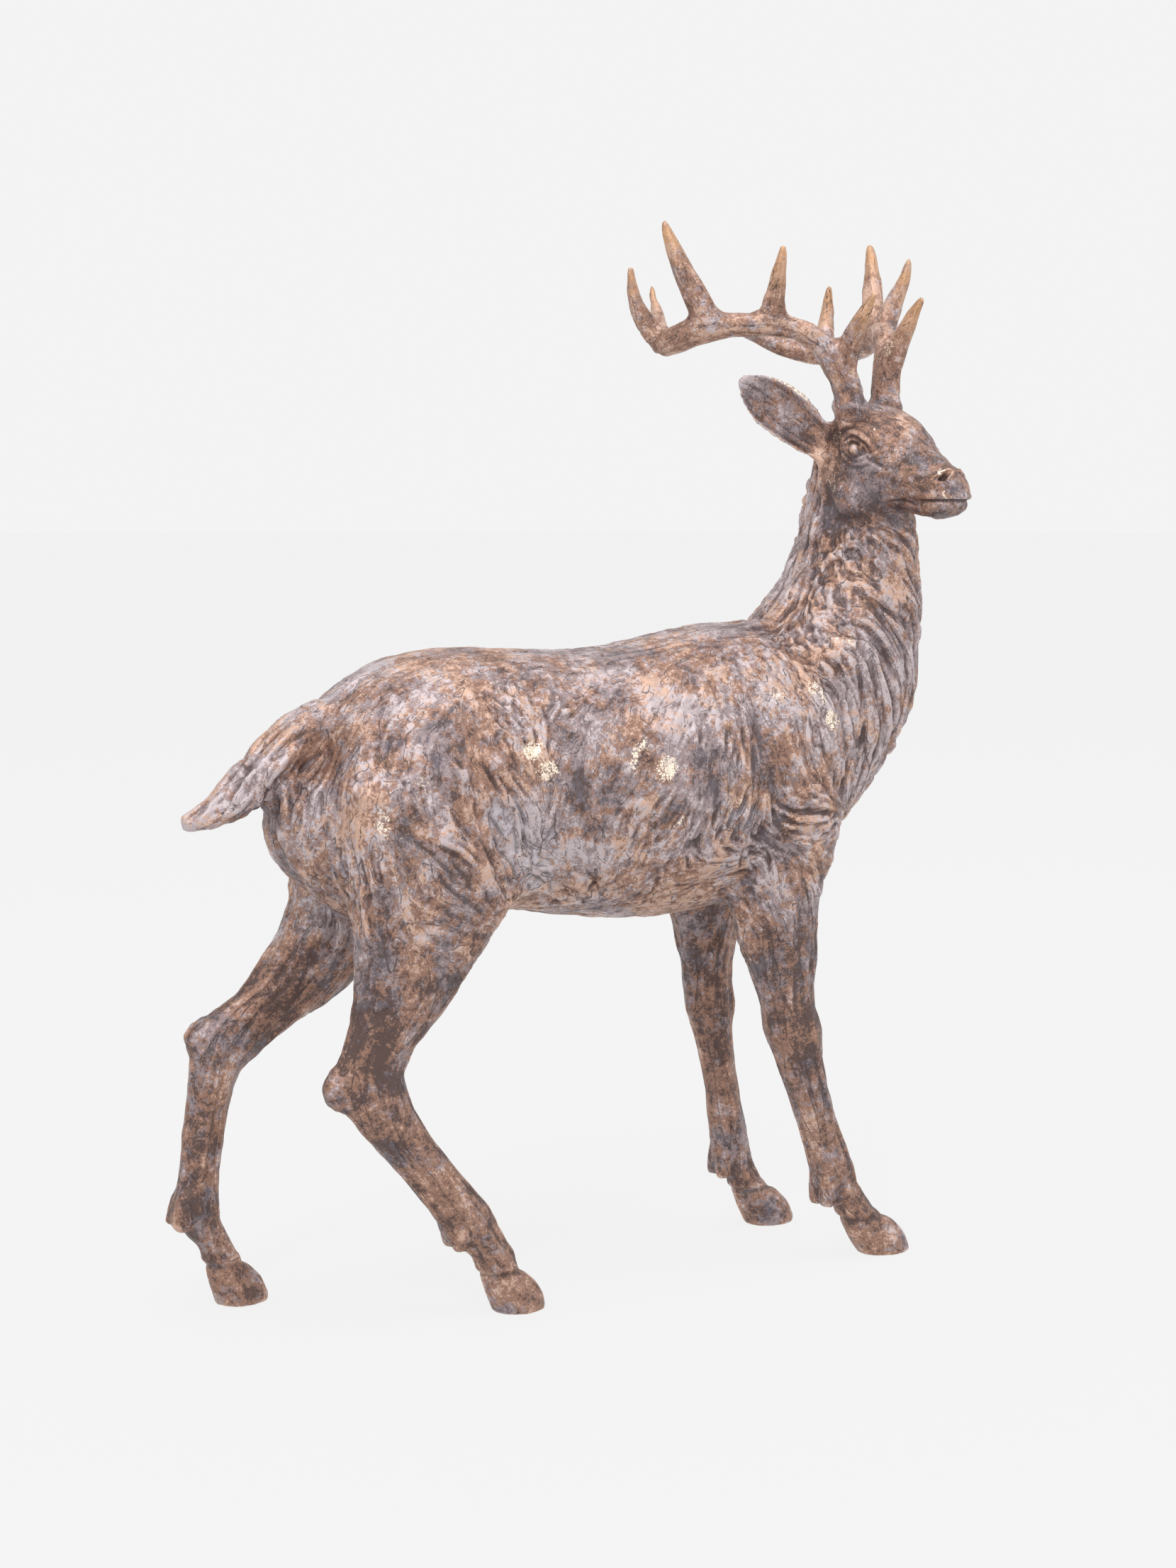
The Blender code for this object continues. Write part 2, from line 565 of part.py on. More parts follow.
def build():
    for old in list(bpy.data.objects):
        bpy.data.objects.remove(old)
    figure = bpy.data.collections.new("reindeer figurine")
    cutters = bpy.data.collections.new("cutters")
    bpy.context.scene.collection.children.link(figure)
    bpy.context.scene.collection.children.link(cutters)
    make_trunk(figure)
    make_head(figure)
    make_legs(figure)
    reindeer = fused(figure, "reindeer", GRID)
    blend(reindeer.data, 16, 0.55, 0.14)
    places = carve(reindeer.data)
    thin_out(reindeer, places)
    stand_flat(reindeer, cutters)
    paint(reindeer)


build()
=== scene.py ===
"""Look of a cast reindeer figurine: carved coat, antlers, antiqued copper and bronze paint."""
import functools
import math
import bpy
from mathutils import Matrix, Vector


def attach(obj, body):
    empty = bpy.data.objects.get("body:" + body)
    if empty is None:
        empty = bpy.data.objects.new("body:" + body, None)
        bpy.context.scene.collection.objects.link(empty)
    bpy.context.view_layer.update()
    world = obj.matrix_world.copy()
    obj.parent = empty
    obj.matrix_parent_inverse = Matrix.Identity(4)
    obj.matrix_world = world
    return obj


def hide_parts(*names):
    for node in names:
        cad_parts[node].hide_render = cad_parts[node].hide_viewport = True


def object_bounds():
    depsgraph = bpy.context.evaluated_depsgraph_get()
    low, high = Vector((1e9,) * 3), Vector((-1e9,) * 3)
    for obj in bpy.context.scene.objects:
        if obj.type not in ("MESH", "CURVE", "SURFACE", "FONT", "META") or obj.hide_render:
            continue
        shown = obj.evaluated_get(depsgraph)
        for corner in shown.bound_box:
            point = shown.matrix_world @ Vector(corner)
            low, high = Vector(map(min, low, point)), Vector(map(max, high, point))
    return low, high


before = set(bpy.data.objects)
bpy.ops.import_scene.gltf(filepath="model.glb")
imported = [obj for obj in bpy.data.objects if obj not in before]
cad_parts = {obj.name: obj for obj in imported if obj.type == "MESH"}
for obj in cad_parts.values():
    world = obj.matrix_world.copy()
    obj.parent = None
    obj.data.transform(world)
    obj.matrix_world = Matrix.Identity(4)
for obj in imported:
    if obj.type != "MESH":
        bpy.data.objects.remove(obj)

from types import SimpleNamespace

import bmesh
import bpy
import numpy as np
from mathutils import Vector

bl_info = {
    "name": "Reindeer figurine",
    "version": (1, 0, 0),
    "blender": (4, 5, 0),
    "location": "3D View > Sidebar > Reindeer",
    "description": "Carves and paints the cast reindeer figurine around its CAD frame",
    "category": "Add Mesh",
}

CAD_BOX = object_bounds()
MM = 0.001

# Places below are in millimetres from a point under the middle of the trunk, which is here in the
# part's frame.
TRUNK_ORIGIN = np.array((7.19, -18.82, 0.0))
POLL = np.array((112.0, -8.0, 340.0))
HEAD_TURN = math.radians(-70)
HEAD_ROLL = math.radians(1.5)
FORWARD = np.array((math.cos(HEAD_TURN), math.sin(HEAD_TURN), 0.0))
LEVEL = np.array((-math.sin(HEAD_TURN), math.cos(HEAD_TURN), 0.0))
LEFTWARD = LEVEL * math.cos(HEAD_ROLL) - np.array((0, 0, math.sin(HEAD_ROLL)))
UPWARD = np.cross(FORWARD, LEFTWARD)

# Which way the carved hair runs on both sides of the body: x, y, z, run along x and z, reach
COAT_GRAIN = (
    (-30, 0, 262, -1, -0.10, 24), (-80, 0, 262, -1, -0.15, 24), (20, 0, 262, -1, 0.0, 24),
    (60, 0, 268, -1, -0.2, 20), (-118, 0, 250, -0.9, -0.5, 20), (-134, 20, 215, -0.35, -1, 20),
    (-140, 0, 190, 0, -1, 22), (-100, 45, 232, -0.5, -1, 22), (-110, 40, 200, -0.1, -1, 22),
    (-92, 45, 200, 0.35, -1, 20), (-80, 45, 178, 0.9, -0.6, 18), (-112, 36, 168, 0.2, -1, 20),
    (-66, 45, 215, 0.4, -1, 16), (-62, 45, 196, 0.45, -1, 15), (-60, 44, 170, 0.3, -1, 15),
    (-88, 38, 148, 0.9, -0.35, 18), (-104, 34, 128, -0.6, -0.8, 18), (-40, 48, 230, -0.3, -1, 20),
    (-42, 48, 195, 0.1, -1, 18), (-44, 46, 162, 0.85, -0.6, 18), (-10, 48, 230, -0.65, -0.8, 22),
    (-8, 48, 195, -0.5, -0.9, 20), (-14, 42, 162, -0.3, -1, 20), (18, 48, 230, -0.7, -0.8, 20),
    (18, 48, 192, -0.5, -0.9, 20), (18, 40, 162, 0.9, 0.5, 18), (40, 46, 240, 0.1, -1, 16),
    (44, 46, 205, 0.3, -1, 15), (58, 46, 240, 0.5, -0.9, 16), (68, 44, 218, 0.6, -0.9, 16),
    (64, 44, 195, 0.75, -0.65, 14), (54, 44, 178, 1, -0.05, 11), (70, 42, 178, 1, 0.25, 12),
    (60, 38, 158, 0.1, -1, 14), (86, 34, 205, 0.35, -1, 16), (92, 10, 190, 0, -1, 20),
    (112, 0, 215, -0.1, -1, 18), (124, 0, 240, 0, -1, 20), (84, 30, 250, 0.8, -0.75, 16),
    (100, 34, 232, 0.55, -0.9, 16), (96, 30, 264, 0.85, -0.6, 16), (114, 28, 250, 0.6, -0.85, 15),
    (84, 0, 268, -0.3, -1, 16), (92, 0, 290, -0.15, -1, 16), (104, 27, 282, 0.9, -0.5, 15),
    (124, 26, 274, 0.7, -0.8, 14), (134, 0, 265, 0, -1, 15), (110, 24, 302, 0.95, -0.35, 14),
    (128, 20, 294, 0.8, -0.7, 12), (96, 24, 298, 0.9, -0.45, 14), (116, 23, 286, 0.85, -0.55, 14),
    (92, 24, 280, 0.8, -0.6, 14), (104, 28, 268, 0.75, -0.65, 14), (88, 28, 262, 0.75, -0.65, 14),
    (0, 0, 140, -1, 0, 18), (-50, 0, 144, -1, 0, 18), (40, 0, 142, -1, 0, 18),
    (-140, 0, 214, -0.85, -0.55, 14), (-156, 0, 200, -0.8, -0.6, 14),
    (-172, 0, 190, -0.95, -0.25, 12),
)
# The same on the head: forward, aside, up, then the run forward and up
FACE_GRAIN = (
    (4, 18, -34, -0.7, -0.6), (20, 13, -32, -1, -0.25), (36, 9, -32, -1, -0.1),
    (14, 17, -24, -1, -0.4), (-2, 16, -14, -0.8, 0.2), (24, 6, -10, -1, 0.35), (9, 15, -6, -1, 0.1),
    (0, 8, 0, -1, 0.2), (30, 10, -22, -1, 0.1), (4, 12, -46, -1, 0.1), (-8, 14, -36, -0.2, -1),
)
# Middles of each leg from elbow or stifle to hoof: side, then x and z
LEG_LINES = (
    (-1, ((57, 145), (59.3, 130), (61.4, 115), (64.4, 98), (68.9, 84), (73.3, 70), (78.6, 55),
          (83.8, 41), (91.8, 25), (97, 18), (108, 6))),
    (1, ((60, 142), (61.5, 120), (62.4, 98), (64.7, 86), (66.5, 72), (69.2, 58), (71.6, 42),
         (77.2, 24), (81, 17), (91, 6))),
    (-1, ((-98, 143), (-106, 122), (-112, 110), (-117, 98), (-113, 86), (-104, 72), (-96, 61),
          (-85.8, 48), (-77, 37), (-69.7, 27), (-65, 19), (-56, 6))),
    (1, ((-102, 146), (-125, 120), (-150, 101), (-155, 90), (-159, 70), (-161.4, 54), (-162.4, 41),
         (-157, 26), (-153, 18), (-146, 6))),
)
HALF_TRACK = 29.5
# Middle of each hoof at the ground and the way it points off +X, in degrees
HOOVES = ((111.2, -29.5, -3), (92.8, 29.5, 3), (-55.3, -29.5, -3), (-144.8, 29.5, 3))
# The antlers in the head's own directions, from a pedicle: forward, outward, up
ANTLER_LINES = (
    ((0, 0, -6), (0, 0.6, 4), (-3, 4.6, 15), (-9.5, 12.2, 27), (-17.5, 21.2, 30.9),
     (-29, 33.8, 31.2), (-41, 43, 29.2), (-52, 45, 25.6), (-62.5, 39.5, 24), (-74, 28.5, 26.8),
     (-85, 18.5, 33), (-91, 12.5, 38.5), (-96, 9.5, 45), (-99, 7, 51.5)),
    ((1.2, 4, 21), (5.4, 4.5, 30), (10.2, 4.6, 38), (15, 4.5, 45)),
    ((-18, 27.3, 40.5), (-13.8, 29.5, 52), (-11, 30.5, 63.3)),
    ((-42, 47, 42.5), (-46.8, 52.8, 57), (-51.5, 56.5, 72)),
    ((-67, 47.5, 32), (-69.5, 52, 43), (-70, 54, 55)),
)
PEDICLE_SPREAD = 11.4
EAR_ROOT = (-6.5, 13.0, -17.5)
EAR_LEAN = (-0.60, 0.54, 0.60)
EAR_FACING = (0.62, 0.70, 0.10)
EAR_LENGTH = 50.5
EAR_HALF_WIDTH = 12.5
# On the head: forward and up of the eye; forward, aside and up of the nostril; the mouth's line
EYE = (9.2, -16.8)
NOSTRIL = (42.8, 6.2, -27.6)
MOUTH_UP = -36.3
MOUTH_CORNER = 33.0
# The casting is modelled as seven meshes. Each runs on a little inside its neighbour.
ANTLER_SEAM = 356.0
NECK_SEAM = 283.0
MANE_SEAM = 236.0
LEG_SEAM = 128.0
WAIST_SEAM = -15.0
SEAM_OVERLAP = 2.0
SEAM_TUCK = 0.8
SEAM_SPARE = 8.0
# Grid of the smooth form in metres, and how often its points are evened out before carving
FORM_CELL = 0.0008
FORM_ROUNDS = 22
PIECE_ROUNDS = 4
FACE_ROUNDS = 40
# Reach of the two kinds of hollow that the paint follows
FINE_HOLLOW = 1.3
WIDE_HOLLOW = 5.0
# Mean height of the flat-topped strokes, taken off so that they leave the form where it is
RIDGE_MEAN = 0.6
# Soft lights: name, place, width, and power as a share of the key light's
LIGHTS = (
    ("key", (-0.9, -0.9, 1.35), 0.35, 1.0),
    ("top", (0.2, -0.2, 1.7), 0.9, 0.9),
    ("fill", (1.3, -0.9, 0.7), 0.8, 0.35),
)
LIGHTS_AIM = Vector((0, 0, 0.2))
FLOOR_RADIUS = 7.0
FLOOR_SHADE = 0.06
FLOOR_GLOW = 0.925
SENSOR_SIDE = 36

# Table behind the noise, its spread, and a turn that hides its grid
LUMPS = 64
NOISE_SPREAD = 0.36
LUMP_TABLE = (np.random.default_rng(11).random(LUMPS**3) * 2 - 1).astype(np.float32)
NOISE_TURN = np.array(((0.8, 0.36, 0.48), (-0.6, 0.48, 0.64), (0.0, -0.8, 0.6)), np.float32)


def ramp(value, low, high):
    t = np.clip((value - low) / (high - low), 0, 1)
    return t * t * (3 - 2 * t)


def bell(value, width):
    return np.exp(-((value / width) ** 2))


def noise(places, seed):
    """Smooth noise between -1 and 1 with lumps about one unit across."""
    turned = places @ NOISE_TURN + 17.3 * seed
    whole = np.floor(turned)
    t = turned - whole
    t = t * t * (3 - 2 * t)
    cell = whole.astype(np.int32)
    near, far = cell & LUMPS - 1, cell + 1 & LUMPS - 1
    total = 0
    for i, u in ((near[:, 0], 1 - t[:, 0]), (far[:, 0], t[:, 0])):
        for j, v in ((near[:, 1], 1 - t[:, 1]), (far[:, 1], t[:, 1])):
            row, share = (i * LUMPS + j) * LUMPS, u * v
            low, high = LUMP_TABLE[row + near[:, 2]], LUMP_TABLE[row + far[:, 2]]
            total = total + share * (low * (1 - t[:, 2]) + high * t[:, 2])
    return total


def on_head(forward, left, up):
    return POLL + FORWARD * forward + LEFTWARD * left + UPWARD * up


def head_places(places):
    local = places - POLL
    return local @ FORWARD, local @ LEFTWARD, local @ UPWARD


def ear_frame(side):
    """Root, lengthwise way, way across and way it faces of an ear."""
    lean, facing = (
        FORWARD * forward + LEFTWARD * side * outward + UPWARD * up
        for forward, outward, up in (EAR_LEAN, EAR_FACING)
    )
    lean = lean / np.linalg.norm(lean)
    across = np.cross(lean, facing)
    across /= np.linalg.norm(across)
    root = on_head(EAR_ROOT[0], side * EAR_ROOT[1], EAR_ROOT[2])
    return root, lean, across, np.cross(across, lean)


def guides():
    """Every place with the way the grain runs there and how far that holds."""
    made = []
    for x, y, z, run, drop, reach in COAT_GRAIN:
        for side in (-1, 1):
            made.append(((x, side * y, z), (run, 0, drop), reach))
    for side, line in LEG_LINES:
        for (x, z), (nx, nz) in zip(line, line[1:]):
            made.append((((x + nx) / 2, side * HALF_TRACK, (z + nz) / 2), (nx - x, 0, nz - z), 11))
    for side in (-1, 1):
        for line in ANTLER_LINES:
            spots = [on_head(f, side * (PEDICLE_SPREAD + o), u) for f, o, u in line]
            for here, there in zip(spots, spots[1:]):
                made.append(((here + there) / 2, there - here, 7))
        root, lean, across, _ = ear_frame(side)
        for t in (0.15, 0.4, 0.65, 0.9):
            made.append((root + lean * EAR_LENGTH * t, lean, 8))
            for way in (-1, 1):
                spread = lean + across * way * (0.5 - 0.9 * t)
                made.append((root + lean * EAR_LENGTH * t + across * way * 9, spread, 6))
        for forward, aside, up, back, drop in FACE_GRAIN:
            made.append((on_head(forward, side * aside, up), FORWARD * back + UPWARD * drop, 9))
    places = np.array([guide[0] for guide in made], float)
    ways = np.array([guide[1] for guide in made], float)
    ways /= np.linalg.norm(ways, axis=1)[:, None]
    return places, ways, np.array([guide[2] for guide in made], float)


class Grain:
    """The run of the hair round the figure, kept on a coarse grid and read between its points."""

    def __init__(self, low, high, spacing=4.0):
        self.low, self.spacing = low - 2 * spacing, spacing
        self.counts = np.ceil((high - self.low) / spacing).astype(int) + 3
        axes = [self.low[i] + np.arange(self.counts[i]) * spacing for i in range(3)]
        grid = np.stack(np.meshgrid(*axes, indexing="ij"), -1).reshape(-1, 3)
        total = np.zeros((*self.counts, 3))
        for place, way, reach in zip(*guides()):
            for spread, weight in ((reach, 1), (5 * reach, 1e-4)):
                falls = [
                    np.exp(-((axis - middle) ** 2) / spread**2) for axis, middle in zip(axes, place)
                ]
                share = weight * falls[0][:, None, None] * falls[1][:, None] * falls[2]
                total += share[..., None] * way
        total = total.reshape(-1, 3)
        total /= np.linalg.norm(total, axis=1)[:, None] + 1e-12
        height = grid[:, 2]
        on_body = (1 - 0.7 * ramp(height, 225, 250)) * (1 - ramp(height, 290, 310))
        on_body *= ramp(height, 120, 150)
        for axis, seed in ((0, 31), (2, 37)):
            total[:, axis] += 0.75 * on_body * noise(grid / 17, seed)
        total /= np.linalg.norm(total, axis=1)[:, None] + 1e-12
        self.table = total.astype(np.float32)

    def __call__(self, places):
        spot = (places - self.low) / self.spacing
        cell = np.clip(np.floor(spot).astype(np.int64), 0, self.counts - 2)
        t = np.clip(spot - cell, 0, 1)
        found = np.zeros_like(places)
        for a in (0, 1):
            for b in (0, 1):
                for c in (0, 1):
                    column = (cell[:, 0] + a) * self.counts[1] + cell[:, 1] + b
                    index = column * self.counts[2] + cell[:, 2] + c
                    share = (
                        (t[:, 0] if a else 1 - t[:, 0]) * (t[:, 1] if b else 1 - t[:, 1])
                        * (t[:, 2] if c else 1 - t[:, 2])
                    )
                    found += share[:, None] * self.table[index]
        return found / (np.linalg.norm(found, axis=1)[:, None] + 1e-12)


def combed(places, grain, width, reach, seed):
    """Noise drawn out along the grain into streaks. It has no offset and a spread of about 1."""
    stride = width * 0.8
    count = max(int(reach / stride), 2)
    total = noise(places / width, seed)
    weight = 1.0
    for way in (1, -1):
        spot = places.copy()
        for step in range(count):
            if step % 3 == 0:
                run = grain(spot) * way * stride
            spot += run
            share = 1 - (step + 1) / (count + 1)
            total += share * noise(spot / width, seed)
            weight += share**2
    return total / (NOISE_SPREAD * math.sqrt(weight))


def mottled(places, size, seed, layers=3):
    """Cloudy patches with finer and finer edges. They have no offset and a spread of about 1."""
    total = sum(noise(places * 2.1**k / size, seed + k) * 0.62**k for k in range(layers))
    return total / (NOISE_SPREAD * math.sqrt(sum(0.62 ** (2 * k) for k in range(layers))))


def tufts(places, grain, width, reach, seed):
    """Overlapping tufts from 0 to 1. Each swells along the grain and ends in a blunt point."""
    count = 10
    height = np.zeros(len(places), np.float32)
    spot = places.copy()
    for step in range(count):
        share = step / (count - 1)
        body = noise(spot / width, seed) - 0.10 - 0.45 * share**2.5
        height = np.maximum(height, ramp(body, 0, 0.28) * (0.35 + 0.65 * share))
        if step % 3 == 0:
            run = grain(spot) * reach / count
        spot -= run
    return height


def taken_apart(mesh):
    points = np.empty(len(mesh.vertices) * 3)
    mesh.vertices.foreach_get("co", points)
    ends = np.empty(len(mesh.edges) * 2, np.int64)
    mesh.edges.foreach_get("vertices", ends)
    return points.reshape(-1, 3), ends.reshape(-1, 2)


def normals_of(mesh):
    normals = np.empty(len(mesh.vertices) * 3)
    mesh.vertices.foreach_get("normal", normals)
    return normals.reshape(-1, 3)


def neighbour_mean(values, ends, count):
    mean = np.empty_like(values)
    for axis in range(values.shape[1]):
        column = values[:, axis]
        mean[:, axis] = (
            np.bincount(ends[:, 0], column[ends[:, 1]], len(values))
            + np.bincount(ends[:, 1], column[ends[:, 0]], len(values))
        ) / count
    return mean


def smoothed(points, ends, rounds, share=0.5, back=-0.52):
    """Taubin smoothing, which takes the facets away and keeps the volume."""
    count = np.bincount(ends.ravel(), minlength=len(points))
    for _ in range(rounds):
        for pull in (share, back):
            points = points + pull * (neighbour_mean(points, ends, count) - points)
    return points


def evaluated(obj):
    bpy.context.view_layer.update()
    mesh = bpy.data.meshes.new_from_object(obj.evaluated_get(bpy.context.evaluated_depsgraph_get()))
    old = obj.data
    obj.modifiers.clear()
    obj.data = mesh
    bpy.data.meshes.remove(old)
    return obj


def put_back(mesh, points):
    mesh.vertices.foreach_set("co", np.ascontiguousarray(points, float).ravel())
    mesh.update()


def fold(places, line, width):
    """The groove of a fold with its raised lips, as a lift from -1 to about 0.3."""
    gap = np.full(len(places), np.inf)
    for start, end in zip(np.array(line[:-1], float), np.array(line[1:], float)):
        run = end - start
        t = np.clip((places - start) @ run / (run @ run), 0, 1)
        gap = np.minimum(gap, np.linalg.norm(places - start - t[:, None] * run, axis=1))
    return 0.5 * bell(gap, 3.2 * width) - 1.3 * bell(gap, width)


def ears_of(places, normals):
    """Mask of the ears, mask of their hollow fronts, and how near a place is to the rim."""
    mask, hollow, rim = (np.zeros(len(places)) for _ in range(3))
    for side in (-1, 1):
        root, lean, across, facing = ear_frame(side)
        local = places - root
        along, aside, out = local @ lean, np.abs(local @ across), local @ facing
        t = np.clip(along / EAR_LENGTH, 0, 1)
        half = np.maximum(EAR_HALF_WIDTH * np.sin(np.pi * (0.13 + 0.87 * t**1.25)) ** 0.65, 1.0)
        near = ramp(along, 3, 10) * (1 - ramp(along, 53, 57))
        near *= 1 - ramp(np.hypot(aside, out), 15, 18)
        mask = np.maximum(mask, near)
        middle = (1 - ramp(aside / half, 0.45, 0.80)) * (1 - ramp(along, 38, 46))
        hollow = np.maximum(hollow, near * ramp(normals @ facing, 0.1, 0.5) * middle)
        edge = bell(aside / half - 0.90, 0.15) * ramp(along, 12, 24)
        rim = np.maximum(rim, near * edge * ramp(normals @ facing, -0.2, 0.3))
    return mask, hollow, rim


def zones(places, normals):
    """Soft masks from 0 to 1 for the parts of the body."""
    x, y, z = places.T
    forward, left, up = head_places(places)
    ears, hollow, rim = ears_of(places, normals)
    antlers = ramp(up, 2, 8) * (1 - ears)
    head = ramp(forward, -12, -4) * ramp(z, 288, 298) * (1 - ramp(up, 0, 6)) * (1 - ears)
    feet = 1 - ramp(z, 15, 22)
    legs = 1 - ramp(z, 126, 152)
    mane = ramp(z, 168, 196) * (1 - ramp(z, 316, 328)) * ramp(x + (z - 200) * 0.25, 60, 84)
    mane *= (1 - head) * (1 - ears) * (1 - antlers)
    tail = ramp(-x, 128, 138) * ramp(z, 184, 192)
    coat = (1 - head) * (1 - ears) * (1 - antlers) * (1 - legs) * (1 - mane)
    return {
        "head": head, "ears": ears, "ear hollow": hollow, "ear rim": rim, "antlers": antlers,
        "feet": feet, "legs": legs * (1 - feet), "tail": tail, "mane": mane, "coat": coat,
    }


def eye_lift(df, du):
    """Ball, lids, corners and brow of an eye. df and du run forward and up from its middle."""
    arch = 1 - (df / 6.6) ** 2
    inside = ramp(arch, 0.0, 0.25)
    upper, lower = du - 3.5 * arch, du + 3.0 * arch
    ball = np.hypot(df, du)
    lift = 0.9 * (1 - ramp(ball, 0.8, 3.4)) - 0.5 * bell(ball - 3.1, 0.5) * inside
    lift += inside * (0.75 * bell(upper - 0.2, 0.55) + 0.55 * bell(lower + 0.2, 0.55))
    lift -= inside * (0.65 * bell(upper - 1.7, 0.5) + 0.35 * bell(lower + 1.7, 0.5))
    lift -= 0.5 * bell(np.hypot(np.abs(df) - 6.4, du), 1.1)
    hood = np.hypot(df * 0.80, du * 1.05)
    above = ramp(du, -0.5, 2.5)
    brow = 0.8 * bell(hood - 6.8, 1.0) - 0.45 * bell(hood - 8.6, 0.6) + 0.5 * bell(hood - 10.2, 0.9)
    lift += above * (1 - ramp(np.abs(df), 8, 12)) * brow
    bag = 0.35 * bell(hood - 5.9, 0.8) - 0.30 * bell(hood - 7.4, 0.6)
    return lift + (1 - above * (1 - ramp(np.abs(df), 8, 12))) * bag * (1 - ramp(df, 4, 8))


def nostril_lift(forward, aside, up):
    """A slanting comma-shaped hole with a raised rim, highest above it."""
    run, rise = forward - NOSTRIL[0], up - NOSTRIL[2]
    turned = 0.75 * run + 0.66 * rise
    across = -0.66 * run + 0.75 * rise - 0.10 * turned**2
    hole = np.sqrt((turned / 2.3) ** 2 + (across / 1.15) ** 2 + ((aside - NOSTRIL[1]) / 3.2) ** 2)
    rim = 0.55 * bell(hole - 1.75, 0.42) * ramp(rise, -2.5, 0.5) + 0.3 * bell(hole - 1.75, 0.4)
    return rim - 1.5 * (1 - ramp(hole, 0.2, 1.1))


def mouth_lift(forward, up, on_side):
    """The line between the lips, and the fold that runs on from its corner."""
    lips = up - MOUTH_UP - 0.02 * (forward - MOUTH_CORNER) * (forward > MOUTH_CORNER)
    seam = 0.45 * bell(lips - 1.6, 1.2) - 0.8 * bell(lips, 0.55) + 0.15 * bell(lips + 1.8, 1.2)
    sag = up - MOUTH_UP + 1.2 - 1.6 * np.sin(np.clip((forward - 18) / 14, 0, 1) * np.pi)
    behind = ramp(forward, 15, 19) * (1 - ramp(forward, 29, 33))
    crease = 0.6 * (bell(sag - 0.9, 0.9) - bell(sag + 0.5, 0.7))
    return ramp(forward, MOUTH_CORNER, MOUTH_CORNER + 5) * seam + on_side * behind * crease


def face_lift(places):
    """Eyes in their lids, brows, tear lines, nostrils, the mouth and the edge of the jaw."""
    forward, left, up = head_places(places)
    aside = np.abs(left)
    on_side = ramp(aside, 5, 10)
    df, du = forward - EYE[0], up - EYE[1] + 0.20 * (forward - EYE[0])
    tear = bell(up - EYE[1] + 2.4 + 0.60 * (df - 5), 0.7)
    lift = on_side * (eye_lift(df, du) - 0.8 * tear * ramp(df, 4.5, 6.5) * (1 - ramp(df, 10, 16)))
    brow_bone = ((forward - 14) / 6) ** 2 + ((aside - 11.5) / 5) ** 2 + ((up + 8.5) / 5) ** 2
    bridge = ((forward - 28) / 8) ** 2 + (aside / 9) ** 2 + ((up + 14) / 6) ** 2
    lift += 1.7 * np.exp(-brow_bone) - 1.4 * np.exp(-bridge)
    lift += nostril_lift(forward, aside, up) + mouth_lift(forward, up, on_side)
    muzzle = np.hypot((forward - 36) * 0.8, up + 29)
    lift -= 0.35 * bell(muzzle - 9.0, 1.2) * (forward < 36) * ramp(aside, 3, 6)
    jaw = np.hypot((forward + 2) * 0.8, up + 30)
    lift -= on_side * 0.35 * bell(jaw - 15.5, 1.8) * (up < -30)
    return lift


def blobs(places, rows):
    """Soft round patches: each row is a place, a radius and a strength."""
    found = np.zeros(len(places))
    for x, y, z, radius, strength in rows:
        gap = np.sqrt(((places - np.array((x, y, z))) ** 2).sum(1))
        found = np.maximum(found, strength * (1 - ramp(gap, radius * 0.35, radius)))
    return found


# Painted highlights where the light glints (bright gold, with some gold rub), darker patches and
# pale patina bloom, alike on both flanks
GLINTS = (
    (-56, 48, 216, 9, 1.0), (-51, 48, 208, 8, 1.0), (-12, 48, 213, 9, 1.0), (-15, 48, 207, 7, 0.9),
    (-2, 48, 205, 8, 0.8), (-91, 46, 232, 8, 1.0), (-87, 46, 237, 7, 1.0), (-98, 45, 229, 9, 0.9),
    (3, 48, 189, 9, 0.6), (8, 47, 232, 10, 0.55), (28, 45, 239, 7, 0.7), (26, 46, 192, 7, 0.7),
    (-110, 44, 190, 9, 0.8), (-116, 43, 193, 7, 0.7), (-96, 43, 178, 9, 0.75),
    (-133, 38, 215, 7, 0.6), (-102, 45, 204, 8, 0.5), (-95, 45, 204, 6, 0.6), (83, 30, 273, 9, 1.0),
    (71, 27, 283, 7, 0.8), (81, 31, 265, 7, 0.9), (89, 30, 249, 8, 0.8), (72, 37, 230, 9, 0.75),
    (77, 38, 220, 9, 0.75), (76, 24, 298, 6, 0.7), (51, 42, 233, 9, 0.6), (21, 45, 234, 8, 0.6),
    (106, 24, 249, 7, 0.6), (56, 36, 146, 9, 0.6), (60, 36, 128, 7, 0.6), (-156, 28, 100, 7, 0.8),
    (-116, 32, 98, 6, 0.7), (110, 33, 10, 7, 0.7), (-55, 33, 11, 7, 0.8), (0, 16, 250, 12, 0.45),
    (-70, 16, 252, 12, 0.45),
)
SHADES = (
    (-19, 44, 241, 22, 1.0), (-42, 48, 200, 14, 0.9), (15, 47, 203, 15, 0.9),
    (-2, 48, 195, 14, 0.8), (-90, 45, 210, 15, 0.6), (-125, 40, 231, 22, 0.7),
    (43, 43, 209, 20, 0.9), (51, 38, 175, 18, 0.8), (-116, 36, 150, 20, 0.8),
    (-110, 43, 184, 10, 0.8), (52, 36, 257, 16, 0.5), (-146, 10, 190, 16, 0.6),
    (104, 26, 286, 14, 0.6), (60, 30, 140, 18, 0.5),
)
